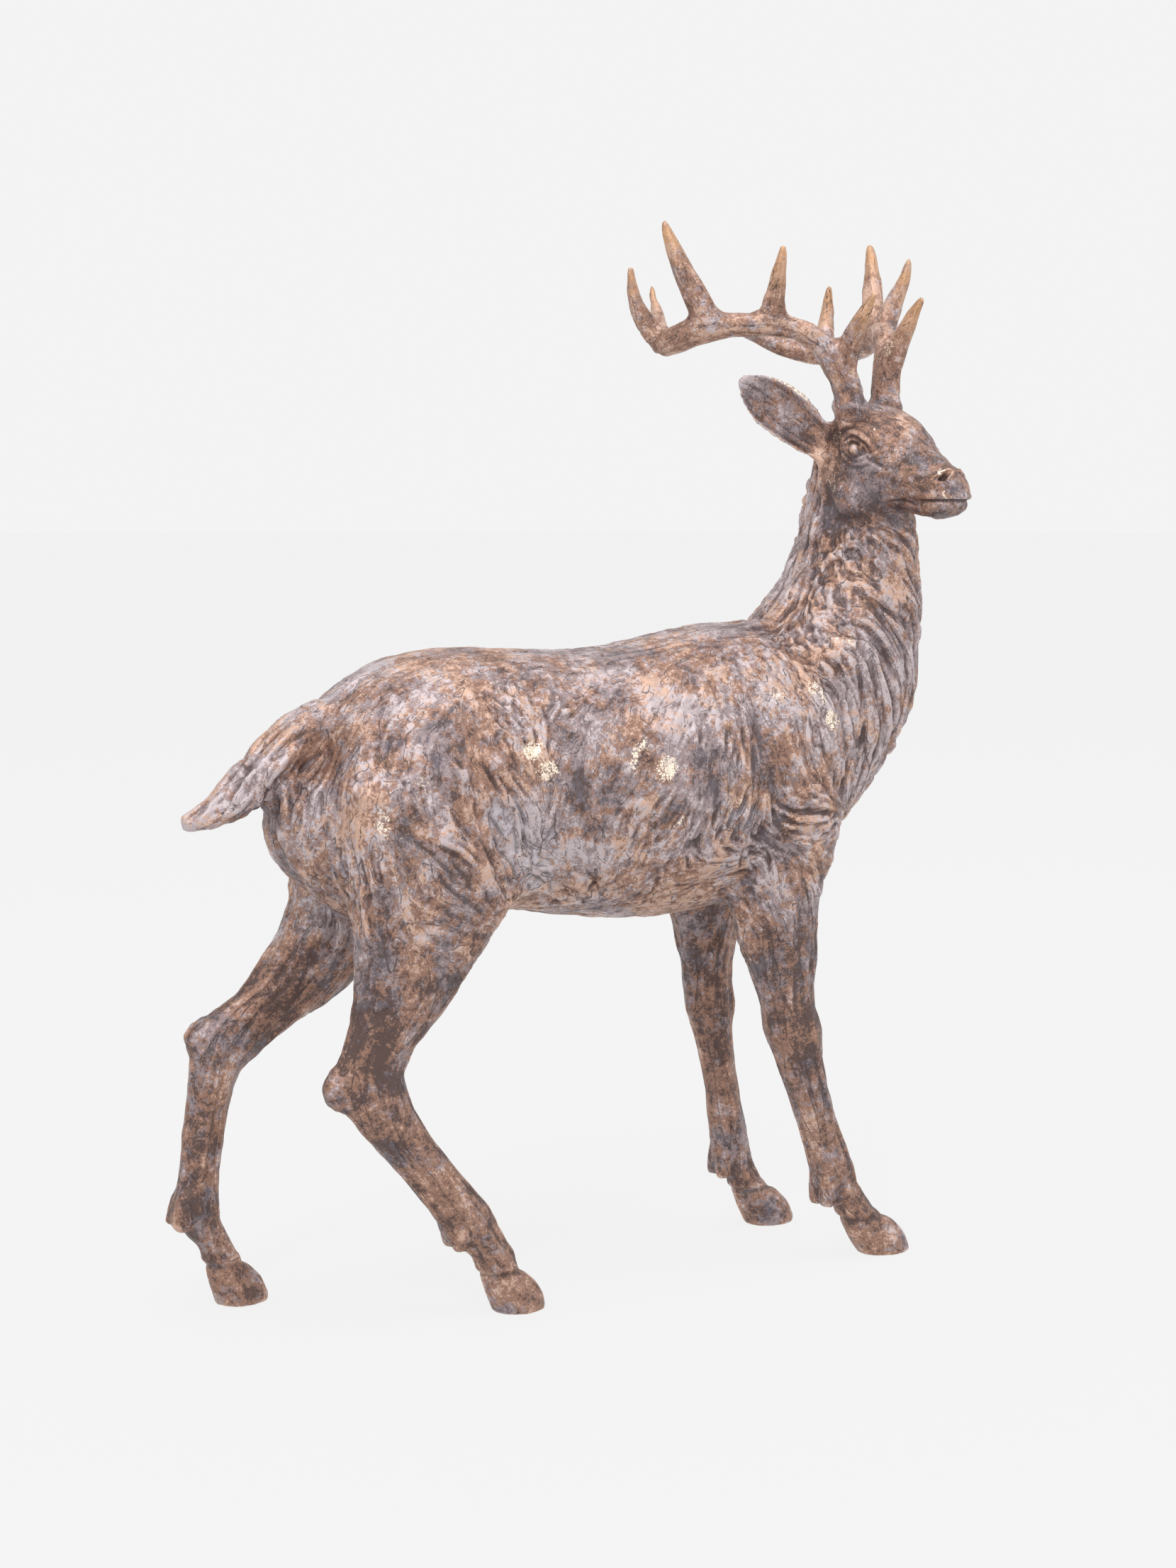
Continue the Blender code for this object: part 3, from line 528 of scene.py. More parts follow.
PATINA = (
    (-57, 43, 178, 15, 1.0), (-65, 44, 192, 13, 1.0), (-48, 38, 166, 15, 0.9),
    (31, 45, 186, 10, 0.9), (26, 46, 202, 9, 0.8), (-141, 30, 195, 17, 0.7),
    (-130, 30, 168, 15, 0.6), (82, 36, 212, 15, 0.4), (50, 40, 225, 15, 0.7),
    (-118, 24, 150, 16, 0.6), (58, 28, 136, 14, 0.5), (-112, 28, 96, 12, 0.9),
    (-100, 30, 64, 12, 0.5), (84, 30, 40, 12, 0.5), (90, 24, 262, 14, 0.4), (30, 0, 256, 16, 0.5),
    (-110, 0, 244, 20, 0.6), (-40, 0, 252, 20, 0.4),
)
# Painted highlights (with gold rub) and darker spots on the head, the dark ones the eye's own
# colour and painted shade under the jaw and in the hollows of temple and muzzle: forward, aside,
# up, radius, strength
HEAD_GLINTS = (
    (14, 14, -11, 5, 0.9), (18, 13, -15, 4.5, 0.9), (-2, 16, -12, 5, 0.7), (-2, 18, -30, 8, 0.6),
    (43, 8, -24, 4.5, 0.7), (46, 8, -34, 5, 0.6), (40, 8, -42, 6, 0.6), (30, 11, -20, 6, 0.5),
    (22, 14, -32, 6, 0.4), (12, 8, -2, 7, 0.5), (-6, 14, 9, 6, 0.6), (2, 13, 24, 7, 0.7),
    (-20, 32, 28, 9, 0.7), (-45, 52, 26, 9, 0.7), (-66, 50, 22, 8, 0.6),
)
HEAD_SHADES = (
    (9, 15, -17, 5, 2.4), (8, 17, -26, 8, 0.7), (-2, 16, -36, 14, 0.8), (30, 11, -27, 11, 0.7),
    (10, 12, -44, 11, 0.8), (-6, 14, -8, 10, 0.6), (20, 8, -10, 8, 0.5),
)


def both_sides(rows):
    """Spots on the head and their twins on its other side, as places on the figure."""
    return [
        (*on_head(forward, side * aside, up), radius, strength)
        for forward, aside, up, radius, strength in rows for side in (-1, 1)
    ]


# Where the strokes are cut deepest, on both flanks
WORKED = (
    (-62, 44, 182, 24, 0.8), (-50, 42, 160, 20, 0.9), (-84, 42, 180, 20, 0.8),
    (-92, 36, 150, 20, 0.7), (-104, 38, 205, 16, 0.4), (-118, 28, 170, 20, 0.7),
    (50, 44, 180, 22, 0.8), (68, 42, 186, 18, 0.9), (60, 38, 156, 18, 0.8), (62, 44, 228, 20, 0.5),
    (90, 36, 250, 22, 0.5), (10, 36, 156, 22, 0.7), (-28, 36, 156, 20, 0.8), (36, 44, 200, 16, 0.5),
    (-70, 44, 214, 16, 0.5), (-132, 14, 196, 24, 0.6),
)
# Folds of the skin on both flanks: half width, depth and the line they follow
FOLDS = (
    (1.2, 1.3, ((-90, 45, 240), (-82, 46, 222), (-72, 46, 203), (-62, 45, 187), (-54, 43, 172),
                (-42, 38, 158))),
    (0.9, 0.9, ((-88, 46, 214), (-78, 46, 198), (-68, 45, 184), (-60, 43, 168), (-50, 38, 155))),
    (0.9, 0.9, ((-76, 47, 214), (-66, 47, 199), (-57, 46, 185), (-48, 44, 170), (-36, 38, 156),
                (-20, 34, 149))),
    (0.9, 0.8, ((-66, 48, 206), (-56, 48, 194), (-47, 46, 180), (-38, 43, 165), (-26, 38, 154))),
    (0.9, 0.6, ((-56, 48, 196), (-46, 48, 184), (-36, 45, 169), (-22, 40, 157))),
    (1.4, 1.3, ((36, 45, 240), (33, 47, 220), (31, 47, 200), (32, 45, 182), (36, 40, 165))),
    (1.0, 0.8, ((27, 47, 232), (24, 48, 212), (24, 47, 194))),
    (1.3, 1.2, ((40, 42, 178), (52, 42, 174), (66, 41, 177), (78, 40, 186))),
    (1.0, 0.9, ((44, 44, 186), (56, 44, 182), (68, 43, 186), (78, 41, 196))),
    (1.0, 0.8, ((42, 40, 168), (54, 40, 163), (68, 38, 166))),
    (0.9, 0.7, ((50, 45, 200), (60, 45, 194), (74, 43, 200), (84, 40, 212))),
    (1.1, 0.9, ((-104, 38, 170), (-92, 41, 160), (-76, 41, 157), (-62, 40, 160))),
    (1.0, 0.8, ((-108, 36, 158), (-96, 38, 149), (-82, 38, 146), (-70, 38, 150))),
    (1.0, 0.7, ((-100, 42, 182), (-88, 43, 172), (-76, 43, 170))),
    (0.9, 0.6, ((-104, 42, 226), (-108, 43, 208), (-104, 43, 192), (-96, 43, 180))),
)


def only(mask, function, places, *values):
    """The function's result where the mask is above 0, and 0 elsewhere."""
    found = np.zeros(len(places), np.float32)
    chosen = np.flatnonzero(mask > 0.01)
    if len(chosen):
        found[chosen] = function(places[chosen], *values)
    return found


def ridged(streaks):
    """Flat-topped strokes with narrow grooves between them, from 0 to 1."""
    return ramp(streaks, -1.1, 0.2)


def hoof_lift(places):
    """The step of the coronet and the cleft in front of each hoof."""
    x, y, z = places.T
    lift = 0.45 * bell(z - 18.2, 1.3) - 0.45 * bell(z - 15.6, 0.9)
    for hoof_x, hoof_y, heading in HOOVES:
        turn = math.radians(heading)
        ahead = math.cos(turn) * (x - hoof_x) + math.sin(turn) * (y - hoof_y)
        aside = math.cos(turn) * (y - hoof_y) - math.sin(turn) * (x - hoof_x)
        near = 1 - ramp(np.hypot(ahead, aside), 18, 22)
        lift -= near * 1.7 * bell(aside, 0.85) * ramp(ahead, 2, 7) * (1 - ramp(z, 11, 16))
    return lift


def both_flanks(p):
    return np.column_stack([p[:, 0], np.abs(p[:, 1]), p[:, 2]])


def carved_lines(p, zone, grain):
    """Each kind of carved line, about -1 to 1, where its zone needs it."""
    furred = np.maximum(zone["coat"], zone["legs"])
    kinds = (
        ("strokes", furred, combed, 2.5, 13, 3),
        ("flakes", furred, combed, 1.9, 9, 5),
        ("waves", furred, combed, 4.6, 20, 9),
        ("drawn_out", furred, combed, 6.5, 20, 81),
        ("cords", np.maximum(zone["legs"], zone["tail"]), combed, 3.4, 30, 11),
        ("locks", zone["mane"], combed, 4.4, 34, 13),
        ("curls", zone["mane"], combed, 2.3, 22, 17),
        ("tips", zone["mane"], tufts, 8.5, 28, 41),
        ("grooves", zone["antlers"], combed, 1.5, 24, 29),
        ("strands", zone["tail"], combed, 2.6, 24, 19),
        ("ear_hair", zone["ears"], combed, 1.5, 13, 53),
        ("head_hair", zone["head"], combed, 1.9, 9, 43),
    )
    lines = SimpleNamespace(fine=combed(p, grain, 1.5, 7, 7), dents=noise(p / 5, 23))
    for name, mask, pattern, spacing, length, seed in kinds:
        setattr(lines, name, only(mask, pattern, p, grain, spacing, length, seed))
    return lines


def carved_lift(p, zone, lines, settings):
    """How far each point is raised or cut, in millimetres."""
    mirrored = both_flanks(p)
    worked = np.clip(0.24 + 0.22 * mottled(p, 24, 71, 2) + blobs(mirrored, WORKED), 0.1, 1.1)
    strokes, flakes = ridged(lines.strokes) - RIDGE_MEAN, ridged(lines.flakes) - RIDGE_MEAN
    fine, dents = lines.fine, lines.dents
    lift = zone["coat"] * (settings.stroke_depth / MM) * (
        worked * (1.7 * strokes + 0.7 * flakes + 0.7 * np.tanh(lines.waves)) + 0.5 * dents
        + 0.12 * fine
    )
    lift += zone["mane"] * (settings.mane_depth / MM) * (
        0.70 * (ridged(lines.locks) - RIDGE_MEAN) + 0.42 * (ridged(lines.curls) - RIDGE_MEAN)
        + 0.38 * (lines.tips - 0.4) + 0.03 * fine
    )
    lift += zone["legs"] * (
        0.30 * np.tanh(1.5 * lines.cords) + 0.22 * strokes + 0.10 * flakes + 0.05 * fine
        + 0.22 * dents
    )
    bare = 1 - tine_tips(p)
    grooves = ridged(lines.grooves) - RIDGE_MEAN
    lift += zone["antlers"] * (0.32 * bare * grooves + 0.18 * noise(p / 4, 61))
    head_hair = ridged(lines.head_hair) - RIDGE_MEAN
    lift += zone["head"] * (0.05 * fine + 0.10 * dents + 0.14 * head_hair)
    lift += zone["feet"] * (0.12 * dents + 0.04 * fine)
    lift += zone["tail"] * 0.7 * (ridged(lines.strands) - 0.5 + 0.5 * np.tanh(lines.cords))
    for width, depth, line in FOLDS:
        lift += 1.5 * zone["coat"] * depth * (0.8 + 0.3 * dents) * fold(mirrored, line, width)
    lift += only(zone["head"], face_lift, p) * zone["head"]
    ear_hair = 0.35 * zone["ear hollow"] * (ridged(lines.ear_hair) - RIDGE_MEAN)
    lift += zone["ear hollow"] * (ear_hair - 1.1) + 0.6 * zone["ear rim"]
    return lift + only(zone["feet"], hoof_lift, p)


def paint_layers(p, zone, lines):
    """What the paint follows, point by point."""
    coat, mane, legs, antlers = zone["coat"], zone["mane"], zone["legs"], zone["antlers"]
    mirrored = both_flanks(p)
    bloom = blobs(mirrored, PATINA)
    smooth_skin = (1 - coat - mane - legs - antlers - zone["ears"] - zone["head"]).clip(0, 1)
    # Tone: darker in the ear hollows as painted shade, and darker on the legs, feet, head, antlers
    # and the listed patches
    tone = (
        0.5 * mottled(p, 11, 83) + 0.45 * mottled(p, 5.0, 87, 2) + 0.35 * lines.drawn_out
        + 0.30 * noise(p / 30, 91) - 1.9 * legs - 1.3 * zone["feet"] - 1.3 * zone["head"]
        - 0.5 * antlers - 1.3 * zone["ear hollow"] - 1.5 * blobs(mirrored, SHADES)
        - 1.3 * blobs(p, both_sides(HEAD_SHADES)) + 0.45
    )
    wash = (
        0.75 * mottled(p, 19, 93) + 0.45 * mottled(p, 7.5, 97, 2) + 1.1 * bloom
        - 1.1 * legs - 1.0 * zone["feet"] - 1.5 * antlers - 0.5 * zone["head"]
    )
    stroke = (
        coat * lines.strokes + mane * (0.5 * lines.locks + 0.6 * lines.curls)
        + legs * lines.cords + antlers * lines.grooves + zone["ears"] * lines.ear_hair
        + zone["head"] * lines.head_hair + smooth_skin
    )
    # Painted highlights: bright spots where the light glints, and gold rub on the ear rims
    painted_highlight = blobs(mirrored, GLINTS) * (0.78 + 0.30 * lines.drawn_out).clip(0.1, 1.15)
    head_painted_highlight = np.maximum(blobs(p, both_sides(HEAD_GLINTS)), 0.95 * zone["ear rim"])
    return {
        "tone": tone,
        "wash": wash,
        "stroke": stroke,
        "hair": lines.fine,
        "glint": np.maximum(painted_highlight + 0.10 * mottled(p, 7, 99, 2), head_painted_highlight),
        "patina": bloom,
        "tip": antlers * tine_tips(p),
    }


def carve(figure, grain, settings, mesh_step, rounds, seams):
    """Carves the coat, face, ears and antlers, and keeps on each point what the paint needs."""
    mesh = figure.data
    points, ends = taken_apart(mesh)
    points = smoothed(points, ends, rounds)
    put_back(mesh, points)
    p = (points / MM - TRUNK_ORIGIN).astype(np.float32)
    zone = zones(p, normals_of(mesh))
    lines = carved_lines(p, zone, grain)
    off_ground = ramp(p[:, 2], 0.4, 3.0)
    lift = carved_lift(p, zone, lines, settings) * off_ground * MM
    points = points + normals_of(mesh) * lift[:, None]
    points = np.clip(points, np.array(CAD_BOX[0]), np.array(CAD_BOX[1]))
    put_back(mesh, points)

    layers = paint_layers(p, zone, lines)
    layers["hollow"] = cavity(mesh, FINE_HOLLOW / mesh_step)
    layers["deep"] = cavity(mesh, WIDE_HOLLOW / mesh_step)
    for name, values in layers.items():
        attribute = mesh.attributes.new(name, "FLOAT", "POINT")
        attribute.data.foreach_set("value", values.astype(np.float32))

    sunk = sum(
        SEAM_TUCK * ramp((place - p[:, axis]) * keep, 0, SEAM_OVERLAP)
        for axis, place, keep in seams
    )
    put_back(mesh, points - normals_of(mesh) * (sunk * off_ground * MM)[:, None])


def tine_tips(places):
    """1 at the tip of each tine, fading a third of the way down it."""
    found = np.zeros(len(places))
    for side in (-1, 1):
        for line in ANTLER_LINES:
            tip = on_head(line[-1][0], side * (PEDICLE_SPREAD + line[-1][1]), line[-1][2])
            gap = np.linalg.norm(places - tip, axis=1)
            found = np.maximum(found, 1 - ramp(gap, 8, 24))
    return found


def cavity(mesh, reach):
    """Depth of each point below its surroundings, in millimetres. The reach is in mesh steps."""
    points, ends = taken_apart(mesh)
    count = np.bincount(ends.ravel(), minlength=len(points))
    spread = points
    for _ in range(max(round(reach**2), 1)):
        spread = neighbour_mean(spread, ends, count)
    return ((spread - points) * normals_of(mesh)).sum(1) / MM


def bisected(obj, axis, place, keep):
    """Keeps a closed mesh on one side of a plane across an axis, and closes it with a flat cap."""
    spot, facing = [0, 0, 0], [0, 0, 0]
    spot[axis], facing[axis] = (place + TRUNK_ORIGIN[axis]) * MM, 1
    bm = bmesh.new()
    bm.from_mesh(obj.data)
    cut = bmesh.ops.bisect_plane(
        bm, geom=bm.verts[:] + bm.edges[:] + bm.faces[:], plane_co=spot, plane_no=facing,
        clear_outer=keep < 0, clear_inner=keep > 0)
    rim = [part for part in cut["geom_cut"] if isinstance(part, bmesh.types.BMEdge)]
    bmesh.ops.holes_fill(bm, edges=rim, sides=0)
    bm.to_mesh(obj.data)
    bm.free()


def remeshed(obj, cell):
    fine = obj.modifiers.new("fine grid", "REMESH")
    fine.mode = "VOXEL"
    fine.voxel_size = cell
    return evaluated(obj)


@functools.cache
def whole_grain():
    corners = taken_apart(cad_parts["reindeer"].data)[0] / MM - TRUNK_ORIGIN
    return Grain(corners.min(0), corners.max(0))


def smooth_form(name):
    """The CAD figure with its facets smoothed away, for a piece to be carved from."""
    made = bpy.data.meshes.get("smooth form")
    form = bpy.data.objects.new(name, (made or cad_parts["reindeer"].data).copy())
    bpy.context.scene.collection.objects.link(form)
    if made:
        return form
    form.data.materials.clear()
    welded = bmesh.new()
    welded.from_mesh(form.data)
    bmesh.ops.remove_doubles(welded, verts=welded.verts, dist=1e-6)
    welded.to_mesh(form.data)
    welded.free()
    remeshed(form, FORM_CELL)
    points, ends = taken_apart(form.data)
    put_back(form.data, smoothed(points, ends, FORM_ROUNDS))
    form.data.copy().name = "smooth form"
    return form


def casting(name, cell, seams, context, rounds=PIECE_ROUNDS):
    """One piece of the casting. It runs a little way beyond each seam, inside its neighbour."""
    figure = smooth_form(name)
    for axis, place, keep in seams:
        bisected(figure, axis, place - keep * SEAM_SPARE, keep)
    remeshed(figure, cell)
    carve(figure, whole_grain(), context.scene.reindeer_carving, cell / MM, rounds, seams)
    for axis, place, keep in seams:
        bisected(figure, axis, place - keep * SEAM_OVERLAP, keep)
    if "bronze paint" not in bpy.data.materials:
        bronze_paint(context.scene.reindeer_paint)
    figure.data.materials.append(bpy.data.materials["bronze paint"])
    figure.data.shade_smooth()
    triangles = len(figure.data.loops) - 2 * len(figure.data.polygons)
    print(name, len(figure.data.vertices), "points", triangles, "triangles")
    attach(figure, "root")
    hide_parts("reindeer")


class Wire:
    """A socket of a material, so that shader maths reads as an expression."""

    def __init__(self, tree, socket):
        self.tree, self.socket = tree, socket

    def maths(self, operation, *values, clamp=False):
        node = self.tree.nodes.new("ShaderNodeMath")
        node.operation = operation
        node.use_clamp = clamp
        for socket, value in zip(node.inputs, values):
            plug(self.tree, socket, value)
        return Wire(self.tree, node.outputs[0])

    def __add__(self, other):
        return self.maths("ADD", self, other)

    __radd__ = __add__

    def __mul__(self, other):
        return self.maths("MULTIPLY", self, other)

    __rmul__ = __mul__

    def __sub__(self, other):
        return self.maths("SUBTRACT", self, other)

    def __rsub__(self, other):
        return self.maths("SUBTRACT", other, self)

    def __abs__(self):
        return self.maths("ABSOLUTE", self)

    def clamp(self):
        return self.maths("MULTIPLY", self, 1.0, clamp=True)

    def step(self, low, high):
        """0 below low, 1 above high and smooth between."""
        return make_node(
            self.tree, "ShaderNodeMapRange", {"interpolation_type": "SMOOTHSTEP"},
            {"Value": self, "From Min": low, "From Max": high},
        )


def plug(tree, socket, value):
    if isinstance(value, Wire):
        tree.links.new(value.socket, socket)
    else:
        socket.default_value = value


def make_node(tree, kind, settings, inputs, output=0):
    node = tree.nodes.new(kind)
    for name, value in settings.items():
        setattr(node, name, value)
    for name, value in inputs.items():
        plug(tree, node.inputs[name], value)
    return Wire(tree, node.outputs[output])


def blend_colour(tree, share, first, second):
    node = tree.nodes.new("ShaderNodeMix")
    node.data_type = "RGBA"
    plug(tree, node.inputs[0], share)
    plug(tree, node.inputs[6], first)
    plug(tree, node.inputs[7], second)
    return Wire(tree, node.outputs[2])


def bronze_paint(settings):
    material = bpy.data.materials.new("bronze paint")
    material.use_nodes = True
    tree = material.node_tree
    shader = tree.nodes["Principled BSDF"]

    def layer(name):
        return make_node(tree, "ShaderNodeAttribute", {"attribute_name": name}, {}, output=2)

    place = make_node(tree, "ShaderNodeTexCoord", {}, {}, output=3)

    def mottle(size, detail=2.0, rough=0.6, distort=0.0):
        return make_node(
            tree, "ShaderNodeTexNoise", {},
            {"Vector": place, "Scale": 1 / (size * MM), "Detail": detail, "Roughness": rough,
             "Distortion": distort},
        )

    def colour_of(value):
        return tuple(value) + (1,)

    stroke, hair, hollow, deep = (layer(name) for name in ("stroke", "hair", "hollow", "deep"))
    flecks = mottle(0.42, 1.0)
    grit = mottle(0.9, 3.0, 0.75)
    speckle = mottle(1.9, 3.0, 0.7, 0.4)
    smudges = mottle(3.2, 4.0, 0.7, 0.6)
    stains = mottle(4.2, 4.0, 0.7, 0.8)

    tone = 0.50 + 0.14 * layer("tone") + 0.9 * (smudges - 0.5) + 0.7 * (speckle - 0.5)
    # Lower in the hollows and higher on raised spots: painted shade together with the dark wash
    tone = tone + 1.1 * (grit - 0.5) + 0.02 * hair - 0.50 * hollow - 0.09 * deep
    grey = 0.5 + 0.13 * layer("wash") + 1.5 * (stains - 0.5) + 0.8 * (speckle - 0.5)
    grey = grey.step(0.34, 0.66)
    low = blend_colour(tree, grey, colour_of(settings.umber), colour_of(settings.slate))
    middle = blend_colour(tree, grey, colour_of(settings.rust), colour_of(settings.mauve))
    high = blend_colour(tree, grey, colour_of(settings.peach), colour_of(settings.lavender))
    colour = blend_colour(tree, tone.step(0.20, 0.44), low, middle)
    colour = blend_colour(tree, tone.step(0.52, 0.78), colour, high)
    frost = (hollow + 0.4 * deep + 1.5 * (speckle - 0.5)).step(-0.05, 0.25) * layer("patina")
    colour = blend_colour(tree, (frost * 0.75).clamp(), colour, colour_of(settings.frost))
    tips = layer("tip") * (0.55 + 0.45 * smudges.step(0.4, 0.6))
    colour = blend_colour(tree, tips * 0.85, colour, colour_of(settings.horn))
    lines = (1.0 - abs(stroke).step(0.04, 0.27)) * speckle.step(0.43, 0.53)
    # Umber in the recesses, fine and wide: dark wash and painted shade
    dark = hollow.step(0.05, 0.28) * 0.7 + deep.step(0.8, 2.4) * 0.25
    dark = (dark * (0.6 + 0.4 * grit.step(0.35, 0.6))).clamp()
    colour = blend_colour(tree, dark, colour, colour_of(settings.umber))
    colour = blend_colour(tree, lines * 0.8, colour, colour_of(settings.crack))
    rubbed = (0.0 - hollow).step(0.10, 0.36)
    # Gold: dry-brush rubbed on raised spots, and painted highlights where the glint layer is high
    gold = 0.66 * layer("glint") + 0.22 * rubbed + 1.4 * (grit - 0.5) + 0.9 * (smudges - 0.5)
    gold = (gold + 0.8 * (flecks - 0.5)).step(0.54, 0.66)
    colour = blend_colour(tree, gold, colour, colour_of(settings.gold))

    plug(tree, shader.inputs["Base Color"], colour)
    plug(tree, shader.inputs["Metallic"], (0.55 + 0.4 * gold).clamp())
    plug(tree, shader.inputs["Roughness"], (0.46 - 0.20 * gold + 0.25 * (grit - 0.5)).clamp())
    height = 0.8 * grit + 0.25 * flecks + 0.05 * hair + 0.6 * smudges - 0.3 * lines
    bump = tree.nodes.new("ShaderNodeBump")
    bump.inputs["Strength"].default_value = 0.55
    bump.inputs["Distance"].default_value = 0.6 * MM
    plug(tree, bump.inputs["Height"], height)
    plug(tree, shader.inputs["Normal"], Wire(tree, bump.outputs[0]))
    return material


def length_property(name, description, default):
    return bpy.props.FloatProperty(
        name=name, description=description, default=default, unit="LENGTH")


def colour_property(name, description, default):
    return bpy.props.FloatVectorProperty(
        name=name, description=description, subtype="COLOR", size=3, default=default, min=0, max=1)


class CarvingSettings(bpy.types.PropertyGroup):
    legs_cell: length_property("Legs cell", "Grid of the legs", 0.00066)
    hind_cell: length_property("Hind cell", "Grid of the hindquarters", 0.00083)
    fore_cell: length_property("Fore cell", "Grid of the forequarters and the neck", 0.00080)
    head_cell: length_property("Head cell", "Grid of the head and the antlers", 0.00056)
    stroke_depth: length_property("Stroke depth", "Depth of the strokes on the coat", 0.00080)
    mane_depth: length_property("Mane depth", "Depth of the locks on neck and chest", 0.0019)


class PaintSettings(bpy.types.PropertyGroup):
    # Umber is also the dark wash and painted shade in the recesses
    umber: colour_property("Umber", "Darkest brown, in the recesses", (0.112, 0.070, 0.062))
    slate: colour_property("Slate", "Darkest grey", (0.152, 0.127, 0.142))
    crack: colour_property("Crack", "Thin lines between the strokes", (0.065, 0.042, 0.040))
    rust: colour_property("Rust", "Middle brown", (0.315, 0.178, 0.128))
    mauve: colour_property("Mauve", "Middle grey", (0.315, 0.246, 0.252))
    peach: colour_property("Peach", "Light warm rubbed spots", (0.60, 0.395, 0.305))
    lavender: colour_property("Lavender", "Light grey rubbed spots", (0.55, 0.47, 0.485))
    frost: colour_property("Frost", "Pale bloom in the folds", (0.66, 0.62, 0.67))
    horn: colour_property("Horn", "Tips of the tines", (0.55, 0.31, 0.16))
    # Gold is both dry-brush paint and the painted highlights
    gold: colour_property("Gold", "Bright leaf on the high spots", (1.0, 0.86, 0.70))


class StageSettings(bpy.types.PropertyGroup):
    backdrop: colour_property(
        "Backdrop", "Colour of the floor and the surroundings", (0.896, 0.896, 0.896))
    key_power: bpy.props.FloatProperty(
        name="Key light", description="Power of the main soft light", default=9.0, unit="POWER")
    camera_place: bpy.props.FloatVectorProperty(
        name="Camera", description="Where the camera stands", default=(-0.5358, -1.0182, 0.34),
        subtype="XYZ", unit="LENGTH")
    camera_turn: bpy.props.FloatProperty(
        name="Turn", description="Way the camera looks, clockwise from the Y axis",
        default=math.radians(28.097), subtype="ANGLE")
    camera_drop: bpy.props.FloatProperty(
        name="Drop", description="How far it looks down", default=math.radians(7.298),
        subtype="ANGLE")
    lens: bpy.props.FloatProperty(
        name="Lens", description="Focal length for a 36 mm long side", default=67.46)


class OBJECT_OT_reindeer_hind_legs(bpy.types.Operator):
    """Carve and paint the hind legs and their hooves"""
    bl_idname = "object.reindeer_hind_legs"
    bl_label = "Hind legs"

    def execute(self, context):
        seams = ((0, WAIST_SEAM, -1), (2, LEG_SEAM, -1))
        casting("reindeer_hind_legs", context.scene.reindeer_carving.legs_cell, seams, context)
        return {"FINISHED"}


class OBJECT_OT_reindeer_forelegs(bpy.types.Operator):
    """Carve and paint the forelegs and their hooves"""
    bl_idname = "object.reindeer_forelegs"
    bl_label = "Forelegs"

    def execute(self, context):
        seams = ((0, WAIST_SEAM, 1), (2, LEG_SEAM, -1))
        casting("reindeer_forelegs", context.scene.reindeer_carving.legs_cell, seams, context)
        return {"FINISHED"}


class OBJECT_OT_reindeer_hindquarters(bpy.types.Operator):
    """Carve and paint the rump, the hind part of the barrel and the tail"""
    bl_idname = "object.reindeer_hindquarters"
    bl_label = "Hindquarters"

    def execute(self, context):
        seams = ((0, WAIST_SEAM, -1), (2, LEG_SEAM, 1))
        casting("reindeer_hindquarters", context.scene.reindeer_carving.hind_cell, seams, context)
        return {"FINISHED"}


class OBJECT_OT_reindeer_forequarters(bpy.types.Operator):
    """Carve and paint the shoulders and the chest"""
    bl_idname = "object.reindeer_forequarters"
    bl_label = "Forequarters"

    def execute(self, context):
        seams = ((0, WAIST_SEAM, 1), (2, LEG_SEAM, 1), (2, MANE_SEAM, -1))
        casting("reindeer_forequarters", context.scene.reindeer_carving.fore_cell, seams, context)
        return {"FINISHED"}


class OBJECT_OT_reindeer_neck(bpy.types.Operator):
    """Carve and paint the withers and the neck with its mane"""
    bl_idname = "object.reindeer_neck"
    bl_label = "Neck and mane"

    def execute(self, context):
        seams = ((0, WAIST_SEAM, 1), (2, MANE_SEAM, 1), (2, NECK_SEAM, -1))
        casting("reindeer_neck", context.scene.reindeer_carving.fore_cell, seams, context)
        return {"FINISHED"}


class OBJECT_OT_reindeer_head(bpy.types.Operator):
    """Carve and paint the head and the ears"""
    bl_idname = "object.reindeer_head"
    bl_label = "Head"

    def execute(self, context):
        cell = context.scene.reindeer_carving.head_cell
        seams = ((2, NECK_SEAM, 1), (2, ANTLER_SEAM, -1))
        casting("reindeer_head", cell, seams, context, FACE_ROUNDS)
        return {"FINISHED"}


class OBJECT_OT_reindeer_antlers(bpy.types.Operator):
    """Carve and paint the antlers"""
    bl_idname = "object.reindeer_antlers"
    bl_label = "Antlers"

    def execute(self, context):
        cell = context.scene.reindeer_carving.head_cell
        casting("reindeer_antlers", cell, ((2, ANTLER_SEAM, 1),), context, FACE_ROUNDS)
        return {"FINISHED"}


def lay_floor(scene, pale):
    disc = bmesh.new()
    bmesh.ops.create_circle(disc, cap_ends=True, segments=96, radius=FLOOR_RADIUS)
    mesh = bpy.data.meshes.new("floor")
    disc.to_mesh(mesh)
    disc.free()
    floor = bpy.data.objects.new("floor", mesh)
    scene.collection.objects.link(floor)
    paper = bpy.data.materials.new("pale paper")
    paper.use_nodes = True
    shader = paper.node_tree.nodes["Principled BSDF"]
    shader.inputs["Base Color"].default_value = (FLOOR_SHADE, FLOOR_SHADE, FLOOR_SHADE, 1)
    shader.inputs["Roughness"].default_value = 1.0
    shader.inputs["Specular IOR Level"].default_value = 0.0
    shader.inputs["Emission Color"].default_value = pale
    shader.inputs["Emission Strength"].default_value = FLOOR_GLOW
    mesh.materials.append(paper)


